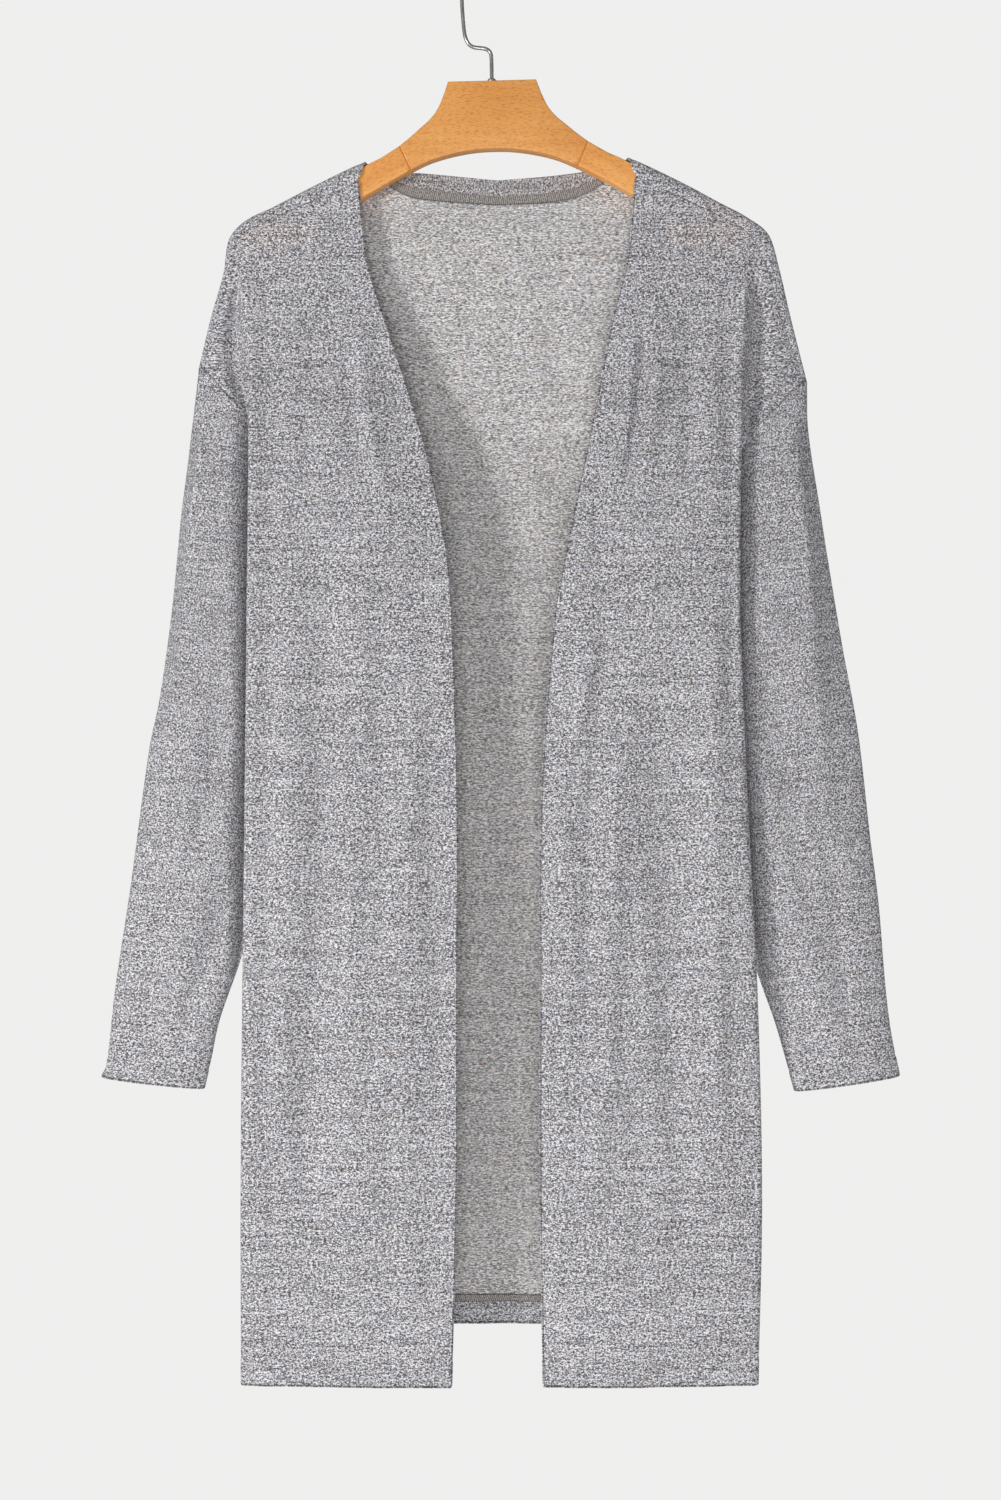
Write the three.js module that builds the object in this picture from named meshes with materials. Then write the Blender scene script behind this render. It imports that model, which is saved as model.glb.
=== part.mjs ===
// Open-front cardigan hanging on a flat wooden hanger with a wire hook.
// Millimetres. +Z is up, +X is to the wearer's left, +Y is to the wearer's back.
// The origin is the inside of the hook's crown, where a rail would carry it.
import * as THREE from "three";

// Cloth
const CLOTH = 1.2;            // thickness of the knit
const TURN_UP = 0.7;          // extra thickness where a hem is turned to the inside
const HEM = 20;               // height of the turned hem
const SEAM_GAP = 0.35;        // between two pieces at a seam
const LAYER_GAP = 2;          // between the middles of two layers sewn face to face
const FACE_TOP = -8;          // front of the cloth over the hanger board
const FACE_LOW = -29;         // front of the cloth from the armpit down
const FACE_TOP_Z = -200;
const FACE_LOW_Z = -450;
const FOLD_HALF = 5;          // half depth of the rounded side folds
const SLEEVE_HALF = 15;       // half depth of a flattened sleeve
const ARMHOLE_HALF = 11;      // half depth of the armhole
const ARMHOLE_BOW = 13;       // how far the armhole bows towards the body

// Hanger
const BOARD = 12;             // thickness of the board
const BOARD_BEVEL = 0.8;
const BOARD_TILT = 1.5;       // degrees, wearer's left side up
const BOARD_TOP_Z = -90;
const GLUE_GAP = 0.3;          // between the board's pieces, and under the hook
const WIRE = 3;               // diameter of the hook wire
const LOOP_RADIUS = 22.5;     // hook loop, to the middle of the wire
const FERRULE_RADIUS = 3.4;
const FERRULE_HEIGHT = 2.4;

// Band inside the back neck
const BAND = 0.8;             // thickness
const BAND_END = 0.64;        // share of each half of the neck where it ends, behind the hanger's arm
const BAND_LOW = 0.07;        // share down the back of its lower edge

// Shares across a panel from its front or neck edge (0) to its armhole or side seam (1)
const SHARES = { edge: 0, arm: 0.25, outer: 0.5, foldIn: 0.74, fold: 0.8, foldOut: 0.86, tuck: 0.93, end: 1 };

// One side of the garment each, all "out" sizes measured away from the middle.
const SIDES = {
  right: {
    sign: -1,
    // Ridge over the arm and seam in front of it, from the neck to the end of the dropped shoulder
    shoulder: [
      { at: SHARES.edge, ridgeOut: 94, ridgeZ: -151.7, seamOut: 100.3, seamZ: -167.7, seamY: -8 },
      { at: SHARES.arm, ridgeOut: 131, ridgeZ: -169.5, seamOut: 130.6, seamZ: -180.6, seamY: -8.2 },
      { at: SHARES.outer, ridgeOut: 163.7, ridgeZ: -186.5, seamOut: 160, seamZ: -193.5, seamY: -8.2 },
      { at: SHARES.foldIn, ridgeOut: 186, ridgeZ: -198, seamOut: 182, seamZ: -204, seamY: -8.2 },
      { at: SHARES.fold, ridgeOut: 196.5, ridgeZ: -211, seamOut: 190, seamZ: -211.5, seamY: -7.8 },
      { at: SHARES.foldOut, ridgeOut: 200.5, ridgeZ: -236, seamOut: 195.5, seamZ: -234, seamY: -6.6 },
      { at: SHARES.tuck, ridgeOut: 210, ridgeZ: -269, seamOut: 205, seamZ: -268, seamY: -5.4 },
      { at: SHARES.end, ridgeOut: 219.3, ridgeZ: -307, seamOut: 218, seamZ: -305.4, seamY: -2.2 },
    ],
    edge: [
      { z: -167.7, out: 100.3 }, { z: -208.9, out: 97.6 }, { z: -246.4, out: 88.4 }, { z: -297, out: 72 },
      { z: -354, out: 54 }, { z: -404, out: 41.3 }, { z: -451, out: 33.5 }, { z: -510, out: 29.3 },
      { z: -629, out: 26.1 }, { z: -924, out: 27 }, { z: -1047, out: 26.3 }, { z: -1062, out: 30.6 },
    ],
    fold: [
      { z: -211, out: 190 }, { z: -256, out: 180.5 }, { z: -355, out: 179.8 }, { z: -555, out: 181.3 },
      { z: -739, out: 183.5 }, { z: -924, out: 185 }, { z: -1046, out: 187.4 }, { z: -1060, out: 184.4 },
    ],
    sleeveOut: [
      { z: -307, out: 219.3 }, { z: -319, out: 220.6 }, { z: -379, out: 227.7 }, { z: -415.5, out: 232.4 },
      { z: -488, out: 239.5 }, { z: -552.5, out: 248.5 }, { z: -591, out: 256.4 }, { z: -694.5, out: 270.5 },
      { z: -772, out: 282.1 }, { z: -829, out: 288.6 }, { z: -836, out: 292 },
    ],
    sleeveIn: [
      { z: -481, out: 121 }, { z: -741.5, out: 187 }, { z: -794.7, out: 205 }, { z: -822.8, out: 211 },
      { z: -844.5, out: 216 },
    ],
    // Distance of the sleeve's front crease from its outer line
    crease: [
      { z: -307, back: 8 }, { z: -369, back: 10 }, { z: -442, back: 14.5 }, { z: -554, back: 17 },
      { z: -629, back: 22 }, { z: -850, back: 28 },
    ],
    hem: { front: -1060, back: -1028 },
  },
  left: {
    sign: 1,
    shoulder: [
      { at: SHARES.edge, ridgeOut: 101, ridgeZ: -148.5, seamOut: 107.6, seamZ: -164.5, seamY: -8 },
      { at: SHARES.arm, ridgeOut: 139.2, ridgeZ: -166.5, seamOut: 137, seamZ: -178, seamY: -8.2 },
      { at: SHARES.outer, ridgeOut: 170, ridgeZ: -183, seamOut: 167, seamZ: -192, seamY: -8.2 },
      { at: SHARES.foldIn, ridgeOut: 193, ridgeZ: -195.5, seamOut: 187, seamZ: -203, seamY: -8.2 },
      { at: SHARES.fold, ridgeOut: 207, ridgeZ: -207.5, seamOut: 196, seamZ: -213, seamY: -7.8 },
      { at: SHARES.foldOut, ridgeOut: 215, ridgeZ: -234, seamOut: 207, seamZ: -237, seamY: -6.6 },
      { at: SHARES.tuck, ridgeOut: 223, ridgeZ: -268, seamOut: 216, seamZ: -269, seamY: -5.4 },
      { at: SHARES.end, ridgeOut: 235.6, ridgeZ: -317, seamOut: 233.6, seamZ: -314.6, seamY: -2.2 },
    ],
    edge: [
      { z: -164.5, out: 107.6 }, { z: -207.4, out: 106.1 }, { z: -251.4, out: 94.7 }, { z: -300.5, out: 84.9 },
      { z: -366, out: 71.7 }, { z: -433, out: 57.8 }, { z: -510, out: 43.7 }, { z: -547, out: 39.3 },
      { z: -666, out: 36.7 }, { z: -924, out: 36.3 }, { z: -1036, out: 36.5 }, { z: -1062, out: 38.7 },
    ],
    fold: [
      { z: -213, out: 196 }, { z: -265, out: 191.6 }, { z: -361, out: 184.7 }, { z: -528, out: 183.4 },
      { z: -642, out: 189.2 }, { z: -756, out: 195.1 }, { z: -850, out: 197.7 }, { z: -1041, out: 199.8 },
      { z: -1060, out: 196 },
    ],
    sleeveOut: [
      { z: -317, out: 235.6 }, { z: -352, out: 236.5 }, { z: -410, out: 245.2 }, { z: -448.5, out: 251.2 },
      { z: -514, out: 262.1 }, { z: -578, out: 273.8 }, { z: -655.5, out: 282.8 }, { z: -707, out: 289.3 },
      { z: -769.5, out: 294.5 }, { z: -802, out: 298.5 }, { z: -835, out: 305 },
    ],
    sleeveIn: [
      { z: -488, out: 121 }, { z: -756.5, out: 199 }, { z: -796.5, out: 213 }, { z: -846.4, out: 227.2 },
    ],
    crease: [
      { z: -317, back: 9 }, { z: -417, back: 20 }, { z: -490, back: 29 }, { z: -573, back: 36 },
      { z: -850, back: 40 },
    ],
    hem: { front: -1060, back: -1028 },
  },
};

// Long soft folds of the fronts: middle line from top to bottom, depth (+ is a trough) and half width
const FRONT_FOLDS = {
  right: [
    { topOut: 121, topZ: -470, lowOut: 140, lowZ: -930, depth: 4, half: 13 },
    { topOut: 98, topZ: -285, lowOut: 82, lowZ: -400, depth: -3, half: 8 },
    { topOut: 162, topZ: -300, lowOut: 164, lowZ: -980, depth: 2, half: 8 },
    { topOut: 60, topZ: -560, lowOut: 64, lowZ: -1010, depth: -2, half: 16 },
  ],
  left: [
    { topOut: 113.5, topZ: -285, lowOut: 102, lowZ: -385, depth: 7, half: 6 },
    { topOut: 122, topZ: -300, lowOut: 113, lowZ: -375, depth: -4, half: 7 },
    { topOut: 86, topZ: -490, lowOut: 69, lowZ: -820, depth: 4, half: 9 },
    { topOut: 91, topZ: -600, lowOut: 80, lowZ: -900, depth: -2.5, half: 9 },
    { topOut: 128, topZ: -590, lowOut: 139, lowZ: -930, depth: 4, half: 14 },
    { topOut: 163, topZ: -500, lowOut: 165, lowZ: -870, depth: -3, half: 9 },
  ],
};
// Folds of the back, by position across (negative is the wearer's right)
const BACK_FOLDS = [
  { topOut: -62, topZ: -330, lowOut: -78, lowZ: -860, depth: 4, half: 15 },
  { topOut: 18, topZ: -420, lowOut: 10, lowZ: -960, depth: 3, half: 20 },
  { topOut: 84, topZ: -300, lowOut: 101, lowZ: -800, depth: 5, half: 14 },
  { topOut: -132, topZ: -380, lowOut: -139, lowZ: -980, depth: 4, half: 11 },
];

const lerp = (a, b, t) => a + (b - a) * t;
const clamp = (t) => Math.min(1, Math.max(0, t));
const smooth = (t) => clamp(t) ** 2 * (3 - 2 * clamp(t));

// Smooth value of a table's column at a key, by a cubic through its rows
function read(table, key, at, column) {
  const rows = table[0][key] < table[table.length - 1][key] ? table : [...table].reverse();
  const last = rows.length - 1;
  const k = clamp((at - rows[0][key]) / (rows[last][key] - rows[0][key]));
  const x = lerp(rows[0][key], rows[last][key], k);
  let i = 0;
  while (i < last - 1 && rows[i + 1][key] < x) i += 1;
  const slope = (j) => {
    const a = rows[Math.max(0, j - 1)];
    const b = rows[Math.min(last, j + 1)];
    return (b[column] - a[column]) / (b[key] - a[key]);
  };
  const step = rows[i + 1][key] - rows[i][key];
  const t = (x - rows[i][key]) / step;
  const h = t * t * (3 - 2 * t);
  return (
    rows[i][column] * (1 - h) + rows[i + 1][column] * h +
    slope(i) * step * t * (1 - t) ** 2 + slope(i + 1) * step * t * t * (t - 1)
  );
}

const faceY = (z) => lerp(FACE_TOP, FACE_LOW, smooth((FACE_TOP_Z - z) / (FACE_TOP_Z - FACE_LOW_Z)));

// Depth that the soft folds add at a place on a panel
function foldDepth(folds, out, z) {
  let sum = 0;
  for (const f of folds) {
    const t = (f.topZ - z) / (f.topZ - f.lowZ);
    const fade = smooth((t + 0.12) / 0.24) * smooth((1.15 - t) / 0.4);
    const off = (out - lerp(f.topOut, f.lowOut, t)) / f.half;
    sum += f.depth * fade * Math.exp(-off * off);
  }
  return sum;
}

// A point of the armhole: share 0 at the end of the shoulder, 1 at the armpit; face -1 front, 1 back
function armhole(side, share, face) {
  const top = side.sleeveOut[0];
  const low = side.sleeveIn[0];
  const length = Math.hypot(top.out - low.out, top.z - low.z);
  const bow = ARMHOLE_BOW * Math.sin(Math.PI * share ** 0.75);
  return {
    out: lerp(top.out, low.out, share) + (bow * (low.z - top.z)) / length,
    y: face * ARMHOLE_HALF * Math.sin(Math.PI * clamp(share)) ** 0.4,
    z: lerp(top.z, low.z, share) - (bow * (low.out - top.out)) / length,
  };
}

// Rows of a panel below the shoulder: share down the panel, height at the edge and at the fold,
// how far the side fold is closed (0 open, 1 a hairpin), and where the outer end lies
const PANEL_ROWS = [
  { down: 0.07, edge: -226, fold: -252, turn: 0.5, hole: 0.1 },
  { down: 0.13, edge: -268, fold: -292, turn: 0.85, hole: 0.17 },
  { down: 0.19, edge: -318, fold: -334, turn: 1, hole: 0.26 },
  { down: 0.26, edge: -375, fold: -384, turn: 1, hole: 0.48 },
  { down: 0.34, edge: -440, fold: -450, turn: 1, hole: 0.8 },
  { down: 0.37, edge: -465, fold: -473, turn: 1, hole: 0.92 },
  { down: 0.4, edge: -490, fold: -496, turn: 1, hole: 1 },
  { down: 0.55, edge: -628, fold: -630, turn: 1, seam: 0.25 },
  { down: 0.7, edge: -772, fold: -772, turn: 1, seam: 0.5 },
  { down: 0.86, edge: -924, fold: -924, turn: 1, seam: 0.77 },
  { down: 1, edge: 0, fold: 0, turn: 1, seam: 1 },
];
const SIDE_SEAM = { lowOut: 128, hemZ: -1046, topDrop: 4 };

// Outer end of a panel's row: on the armhole, or on the side seam in the bottom of the tuck
function rowEnd(side, row, face) {
  if (row.hole !== undefined) {
    const p = armhole(side, row.hole, face);
    const hidden = smooth((row.hole - 0.2) / 0.25);
    return {
      out: p.out - LAYER_GAP * hidden * (1 + 1.2 * smooth((row.hole - 0.8) / 0.15)),
      y: p.y + face * LAYER_GAP * hidden * (1 - 0.5 * smooth((row.hole - 0.9) / 0.1)),
      z: p.z,
    };
  }
  const pit = side.sleeveIn[0];
  return {
    out: lerp(pit.out - 2.2 * LAYER_GAP, SIDE_SEAM.lowOut, row.seam),
    y: face * LAYER_GAP * 0.45,
    z: lerp(pit.z - SIDE_SEAM.topDrop, SIDE_SEAM.hemZ, row.seam),
  };
}

// Control points of a row from the face inwards over the side fold to its end
function foldPoints(foldOut, foldZ, y, end, row, face) {
  const inY = (d) => y - face * d;
  const seat = face * (FOLD_HALF * 2 + 1);
  const open = {
    fold: { out: foldOut, y: inY(2) },
    foldOut: { out: lerp(foldOut, end.out, 0.35), y: inY(3.5) },
    tuck: { out: lerp(foldOut, end.out, 0.7), y: lerp(y, end.y, 0.8) },
  };
  const shut = {
    fold: { out: foldOut, y: inY(FOLD_HALF) },
    foldOut: { out: foldOut - 5, y: y - seat },
    tuck: { out: lerp(foldOut - 5, end.out, 0.62), y: lerp(y - seat, end.y, 0.14) },
  };
  const mix = (k) => ({
    out: lerp(open[k].out, shut[k].out, row.turn),
    y: lerp(open[k].y, shut[k].y, row.turn),
  });
  return [
    { at: SHARES.foldIn, out: foldOut - 6, y: y - face * 0.4, z: foldZ },
    { at: SHARES.fold, ...mix("fold"), z: foldZ },
    { at: SHARES.foldOut, ...mix("foldOut"), z: lerp(foldZ, end.z, 0.3) },
    { at: SHARES.tuck, ...mix("tuck"), z: lerp(foldZ, end.z, 0.65) },
    { at: SHARES.end, ...end },
  ];
}

// All control rows of a front panel, the shoulder seam first
function frontRows(side) {
  const rows = [{
    down: 0,
    points: side.shoulder.map((p) => ({ at: p.at, out: p.seamOut, y: p.seamY, z: p.seamZ })),
  }];
  for (const row of PANEL_ROWS) {
    const edgeZ = row.edge || side.hem.front - 1.5;
    const foldZ = row.fold || side.hem.front + 1;
    const edge = read(side.edge, "z", edgeZ, "out");
    const fold = read(side.fold, "z", foldZ, "out");
    const y = faceY(foldZ);
    const end = rowEnd(side, row, -1);
    const faceRow = (at, share) => ({
      at, out: lerp(edge, fold - 6, share), y: faceY(lerp(edgeZ, foldZ, share)), z: lerp(edgeZ, foldZ, share),
    });
    rows.push({
      down: row.down,
      points: [
        { at: 0, out: edge, y: 0.8 * faceY(edgeZ) - 1.6, z: edgeZ },
        faceRow(SHARES.arm, 0.33),
        faceRow(SHARES.outer, 0.67),
        ...foldPoints(fold, foldZ, y, end, row, -1),
      ],
    });
  }
  return rows;
}

// Point on a set of control rows, smooth both ways
function onRows(rows, across, down) {
  const column = rows.map((r) => ({
    down: r.down,
    out: read(r.points, "at", across, "out"),
    y: read(r.points, "at", across, "y"),
    z: read(r.points, "at", across, "z"),
  }));
  return {
    out: read(column, "down", down, "out"),
    y: read(column, "down", down, "y"),
    z: read(column, "down", down, "z"),
  };
}

// Point of a front panel, with its soft folds
function frontPoint(side, rows, folds, across, down) {
  const p = onRows(rows, across, down);
  const onFace = smooth(across / 0.1) * smooth((SHARES.fold - across) / 0.08);
  p.y += foldDepth(folds, p.out, p.z) * onFace;
  return new THREE.Vector3(side.sign * p.out, p.y, p.z);
}

// Neck edge of the back. "over" is how far round the hanger's arm a place lies, from the seam in
// front (0) over the ridge (0.5) to behind (1); past the arm the edge runs level behind the hanger.
const NECK_EDGE = {
  right: [
    { at: 0.07, out: 97.2, over: 0.27 }, { at: 0.11, out: 95.2, over: 0.42 }, { at: 0.14, out: 94, over: 0.5 },
    { at: 0.18, out: 92.6, over: 0.62 }, { at: 0.26, out: 89, over: 0.85 },
    { at: 0.6, out: 50.3, y: 10.5, z: -157.5 }, { at: 1, out: -4, y: 11, z: -162.6 },
  ],
  left: [
    { at: 0.07, out: 104.2, over: 0.25 }, { at: 0.11, out: 102.2, over: 0.4 }, { at: 0.14, out: 101, over: 0.5 },
    { at: 0.18, out: 99.6, over: 0.62 }, { at: 0.26, out: 96, over: 0.85 },
    { at: 0.6, out: 52, y: 10.5, z: -158.5 }, { at: 1, out: 4, y: 11, z: -162.6 },
  ],
};
// Section of the cloth over the arm beside the neck, depth and drop from the ridge
const OVER_ARM = [
  { over: 0, y: -8, drop: 16 }, { over: 0.25, y: -8.4, drop: 4.2 }, { over: 0.4, y: -6.5, drop: 0.2 },
  { over: 0.5, y: 0, drop: 0 }, { over: 0.62, y: 6, drop: 0.7 }, { over: 0.8, y: 8.4, drop: 4 },
  { over: 1, y: 9, drop: 13 },
];
const ARM_SLOPE = 0.5;        // rise of the hanger's arm towards the middle
const STRIP_ROWS = 0.06;      // share down the back by which every column lies behind the hanger
const BACK_TOP_DEPTH = 9;     // back of the cloth behind the hanger
const BACK_LOW_DEPTH = 28;
const backY = (z) => lerp(BACK_TOP_DEPTH, BACK_LOW_DEPTH, smooth((-185 - z) / 250));

// Rows of the back below the shoulder: heights at the middle, at the fold and at the end
const BACK_ROWS = [
  { down: 0.1, middle: -198, fold: -250, turn: 0, hole: 0.1 },
  { down: 0.15, middle: -236, fold: -290, turn: 0, hole: 0.17 },
  { down: 0.2, middle: -290, fold: -332, turn: 0.35, hole: 0.26 },
  { down: 0.27, middle: -354, fold: -380, turn: 0.85, hole: 0.48 },
  { down: 0.35, middle: -425, fold: -448, turn: 1, hole: 0.8 },
  { down: 0.38, middle: -452, fold: -468, turn: 1, hole: 0.92 },
  { down: 0.41, middle: -480, fold: -490, turn: 1, hole: 1 },
  { down: 0.56, middle: -610, fold: -624, turn: 1, seam: 0.25 },
  { down: 0.71, middle: -752, fold: -764, turn: 1, seam: 0.5 },
  { down: 0.86, middle: -898, fold: -910, turn: 1, seam: 0.77 },
  { down: 1, middle: 0, fold: 0, turn: 1, seam: 1 },
];
const BACK_FOLD_INSET = 4;
const NECK_SHARE = 0.4;       // share of each half of the back that lies within the neck

// Control rows of one half of the back; "at" runs from the middle (0) out to the side seam (1)
function backRows(side, neckEdge) {
  const outside = (at) => lerp(NECK_SHARE, 1, at);
  const neck = side.shoulder[0];
  // Place below the neck edge, a share of the way down the strip that goes over the hanger
  const belowNeck = (p, share) => {
    if (p.over === undefined) return { out: p.out, y: lerp(p.y, backY(p.z - 14), share), z: p.z - 14 * share };
    const over = lerp(p.over, 1, share);
    const ridge = neck.ridgeZ + ARM_SLOPE * (neck.ridgeOut - p.out);
    return { out: p.out, y: read(OVER_ARM, "over", over, "y"), z: ridge - read(OVER_ARM, "over", over, "drop") };
  };
  const strip = (down, shoulder) => ({
    down,
    points: [
      ...[...neckEdge].reverse().map((p) => ({ at: (1 - p.at) * NECK_SHARE, ...belowNeck(p, down / STRIP_ROWS) })),
      ...side.shoulder.map((p) => ({ at: outside(p.at), ...shoulder(p) })),
    ],
  });
  // Between the seam in front and the ridge, then behind the ridge, square over the board
  const rise = (share, depth) => (p) => ({
    out: lerp(p.seamOut, p.ridgeOut, share), y: p.seamY * depth, z: lerp(p.seamZ, p.ridgeZ, share),
  });
  const behind = (lower, depth, hole) => (p) => {
    const end = armhole(side, hole, 1);
    const share = clamp((p.at - SHARES.foldIn) / (1 - SHARES.foldIn)) ** 2;
    return {
      out: lerp(p.ridgeOut - 0.3 * lower, end.out, share),
      y: lerp(-p.seamY * depth, end.y, share),
      z: lerp(p.ridgeZ - lower, end.z, share),
    };
  };
  const rows = [
    strip(0, rise(0, 1)),
    strip(0.012, rise(0.68, 0.98)),
    strip(0.021, rise(0.96, 0.7)),
    strip(0.03, rise(1, 0)),
    strip(0.039, behind(0.5, 0.7, 0.004)),
    strip(0.048, behind(4, 1.03, 0.016)),
    strip(STRIP_ROWS, behind(12, 1.1, 0.045)),
  ];
  const outShares = [0, 0.2, 0.41, 0.48, 0.56, 0.7, 0.84];
  const atShares = [0, 0.4 * NECK_SHARE, 0.74 * NECK_SHARE, 0.86 * NECK_SHARE, NECK_SHARE,
    outside(SHARES.arm), outside(SHARES.outer)];
  for (const row of BACK_ROWS) {
    const middleZ = row.middle || side.hem.back;
    const foldZ = row.fold || side.hem.back - 12;
    const fold = read(side.fold, "z", foldZ, "out") - BACK_FOLD_INSET;
    const end = rowEnd(side, row, 1);
    const y = backY(foldZ);
    rows.push({
      down: row.down,
      points: [
        ...outShares.map((share, i) => {
          const z = lerp(middleZ, foldZ, share ** 2);
          return { at: atShares[i], out: (fold - 6) * share, y: backY(z), z };
        }),
        ...foldPoints(fold, foldZ, y, end, row, 1).map((p) => ({ ...p, at: outside(p.at) })),
      ],
    });
  }
  return rows;
}

// Point of the back; across runs from -1 at the wearer's right side seam to 1 at the left one
function backPoint(halves, across, down) {
  const half = across < 0 ? halves.right : halves.left;
  const p = onRows(half.rows, Math.abs(across), down);
  const x = half.side.sign * p.out;
  const onFace = smooth((lerp(NECK_SHARE, 1, SHARES.fold) - Math.abs(across)) / 0.08) * smooth((down - 0.1) / 0.1);
  p.y -= foldDepth(BACK_FOLDS, x, p.z) * onFace;
  return new THREE.Vector3(x, p.y, p.z);
}

// Point of a sleeve; around runs from the outer line (0) over the front to the underarm (0.5) and back
function sleevePoint(side, around, down) {
  const topZ = side.sleeveOut[0].z;
  const cuffZ = side.sleeveOut[side.sleeveOut.length - 1].z;
  const pitZ = side.sleeveIn[0].z;
  const innerCuffZ = side.sleeveIn[side.sleeveIn.length - 1].z;
  const outerZ = lerp(topZ, cuffZ, down);
  const innerZ = lerp(pitZ, innerCuffZ, down);
  const outer = { out: read(side.sleeveOut, "z", outerZ, "out"), z: outerZ };
  const inner = { out: read(side.sleeveIn, "z", innerZ, "out"), z: innerZ };
  const width = Math.hypot(outer.out - inner.out, outer.z - inner.z);
  const front = around <= 0.5;
  const share = front ? around * 2 : 2 - around * 2;
  const face = front ? -1 : 1;
  const half = lerp(ARMHOLE_HALF, SLEEVE_HALF, smooth(down / 0.16)) * lerp(1, 0.72, smooth((down - 0.6) / 0.4));
  const oval = Math.sin(Math.PI * share) ** 0.4;
  const c = read(side.crease, "z", outerZ, "back") / width;
  const facet = share < c ? share / c : Math.sin((0.5 + (0.5 * (share - c)) / (1 - c)) * Math.PI) ** 0.4;
  const creased = 0.9 * smooth(down / 0.12) * smooth((0.72 - down) / 0.3);
  const profile = front ? lerp(oval, facet, creased) : oval;
  const bow = ARMHOLE_BOW * (1 - smooth(down / 0.25)) * Math.sin(Math.PI * share ** 0.75);
  const out = lerp(outer.out, inner.out, share) + (bow * (inner.z - outer.z)) / width;
  const z = lerp(outer.z, inner.z, share) - (bow * (inner.out - outer.out)) / width;
  return new THREE.Vector3(side.sign * out, face * half * profile, z);
}

// Sample places of a sleeve's ring, with one on the crease and close ones at the underarm
function ringPlaces(count) {
  const places = [];
  for (let i = 0; i < count; i += 1) {
    const t = (i / count) * 2;
    const share = t <= 1 ? (1 - Math.cos(Math.PI * t)) / 2 : 1 + (1 - Math.cos(Math.PI * (t - 1))) / 2;
    places.push(share / 2);
  }
  return places;
}

// Closed wall on a grid of middle points: two skins joined round the open rims.
// skin(i) gives how far the outside and the inside lie from the middle on row i.
function wall(grid, closed, skin, flip) {
  const rows = grid.length;
  const columns = grid[0].length;
  const at = (i, j) => {
    const row = grid[Math.min(rows - 1, Math.max(0, i))];
    return closed ? row[(j + columns) % columns] : row[Math.min(columns - 1, Math.max(0, j))];
  };
  const outer = [];
  const inner = [];
  for (let i = 0; i < rows; i += 1) {
    for (let j = 0; j < columns; j += 1) {
      const a = at(i, j + 1).clone().sub(at(i, j - 1));
      const b = at(i + 1, j).clone().sub(at(i - 1, j));
      const n = a.cross(b).normalize().multiplyScalar(flip ? -1 : 1);
      outer.push(at(i, j).clone().addScaledVector(n, skin(i).outside));
      inner.push(at(i, j).clone().addScaledVector(n, skin(i).inside));
    }
  }
  const points = [...outer, ...inner];
  const base = outer.length;
  const index = [];
  const quad = (a, b, c, d) => {
    if (flip) index.push(a, b, c, a, c, d);
    else index.push(a, c, b, a, d, c);
  };
  const id = (i, j) => i * columns + (j % columns);
  const spans = closed ? columns : columns - 1;
  for (let i = 0; i < rows - 1; i += 1) {
    for (let j = 0; j < spans; j += 1) {
      quad(id(i, j), id(i + 1, j), id(i + 1, j + 1), id(i, j + 1));
      quad(base + id(i, j), base + id(i, j + 1), base + id(i + 1, j + 1), base + id(i + 1, j));
    }
  }
  for (let j = 0; j < spans; j += 1) {
    quad(id(0, j), id(0, j + 1), base + id(0, j + 1), base + id(0, j));
    quad(id(rows - 1, j + 1), id(rows - 1, j), base + id(rows - 1, j), base + id(rows - 1, j + 1));
  }
  if (!closed) {
    for (let i = 0; i < rows - 1; i += 1) {
      quad(id(i + 1, 0), id(i, 0), base + id(i, 0), base + id(i + 1, 0));
      quad(id(i, spans), id(i + 1, spans), base + id(i + 1, spans), base + id(i, spans));
    }
  }
  return solid(points, index);
}

function solid(points, index) {
  const geometry = new THREE.BufferGeometry();
  geometry.setAttribute("position", new THREE.Float32BufferAttribute(points.flatMap((p) => p.toArray()), 3));
  geometry.setIndex(index);
  geometry.computeVertexNormals();
  return geometry;
}

// Even steps with the given extra places put in
function steps(count, from, to, extra = []) {
  const list = [...extra];
  for (let i = 0; i <= count; i += 1) {
    const t = lerp(from, to, i / count);
    if (!extra.some((e) => Math.abs(e - t) < (0.4 * (to - from)) / count)) list.push(t);
  }
  return list.sort((a, b) => a - b);
}

const CLOTH_LOOK = { color: 0x9a9aa0, roughness: 0.95 };
const BAND_LOOK = { color: 0x8c8682, roughness: 0.95 };
const WOOD_LOOK = { color: 0xd9b48a, roughness: 0.6 };
const WIRE_LOOK = { color: 0xc9c9c9, roughness: 0.25, metalness: 1 };

function mesh(name, geometry, look) {
  const made = new THREE.Mesh(geometry, new THREE.MeshStandardMaterial(look));
  made.name = name;
  return made;
}

// Skin of a panel whose rows past a share are turned up to the inside
const hemmed = (downs, start) => (i) => ({
  outside: CLOTH / 2,
  inside: -CLOTH / 2 - (downs[i] > start + 0.001 ? TURN_UP : 0),
});

const ACROSS = [0, 0.1, 0.2, 0.3, 0.4, 0.5, 0.6, 0.68, 0.74, 0.775, 0.8, 0.83, 0.86, 0.9, 0.94, 0.975, 1];
// Places across half of the neck, as shares of it, and down the strip that goes over the hanger
const NECK_COLUMNS = [0, 0.2, 0.4, 0.52, 0.64, 0.74, 0.82, 0.86, 0.89, 0.93];
const STRIP_DOWNS = [0.0006, 0.012, 0.021, 0.03, 0.039, 0.048, STRIP_ROWS];
const hemStart = (length) => 1 - HEM / length;

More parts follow.
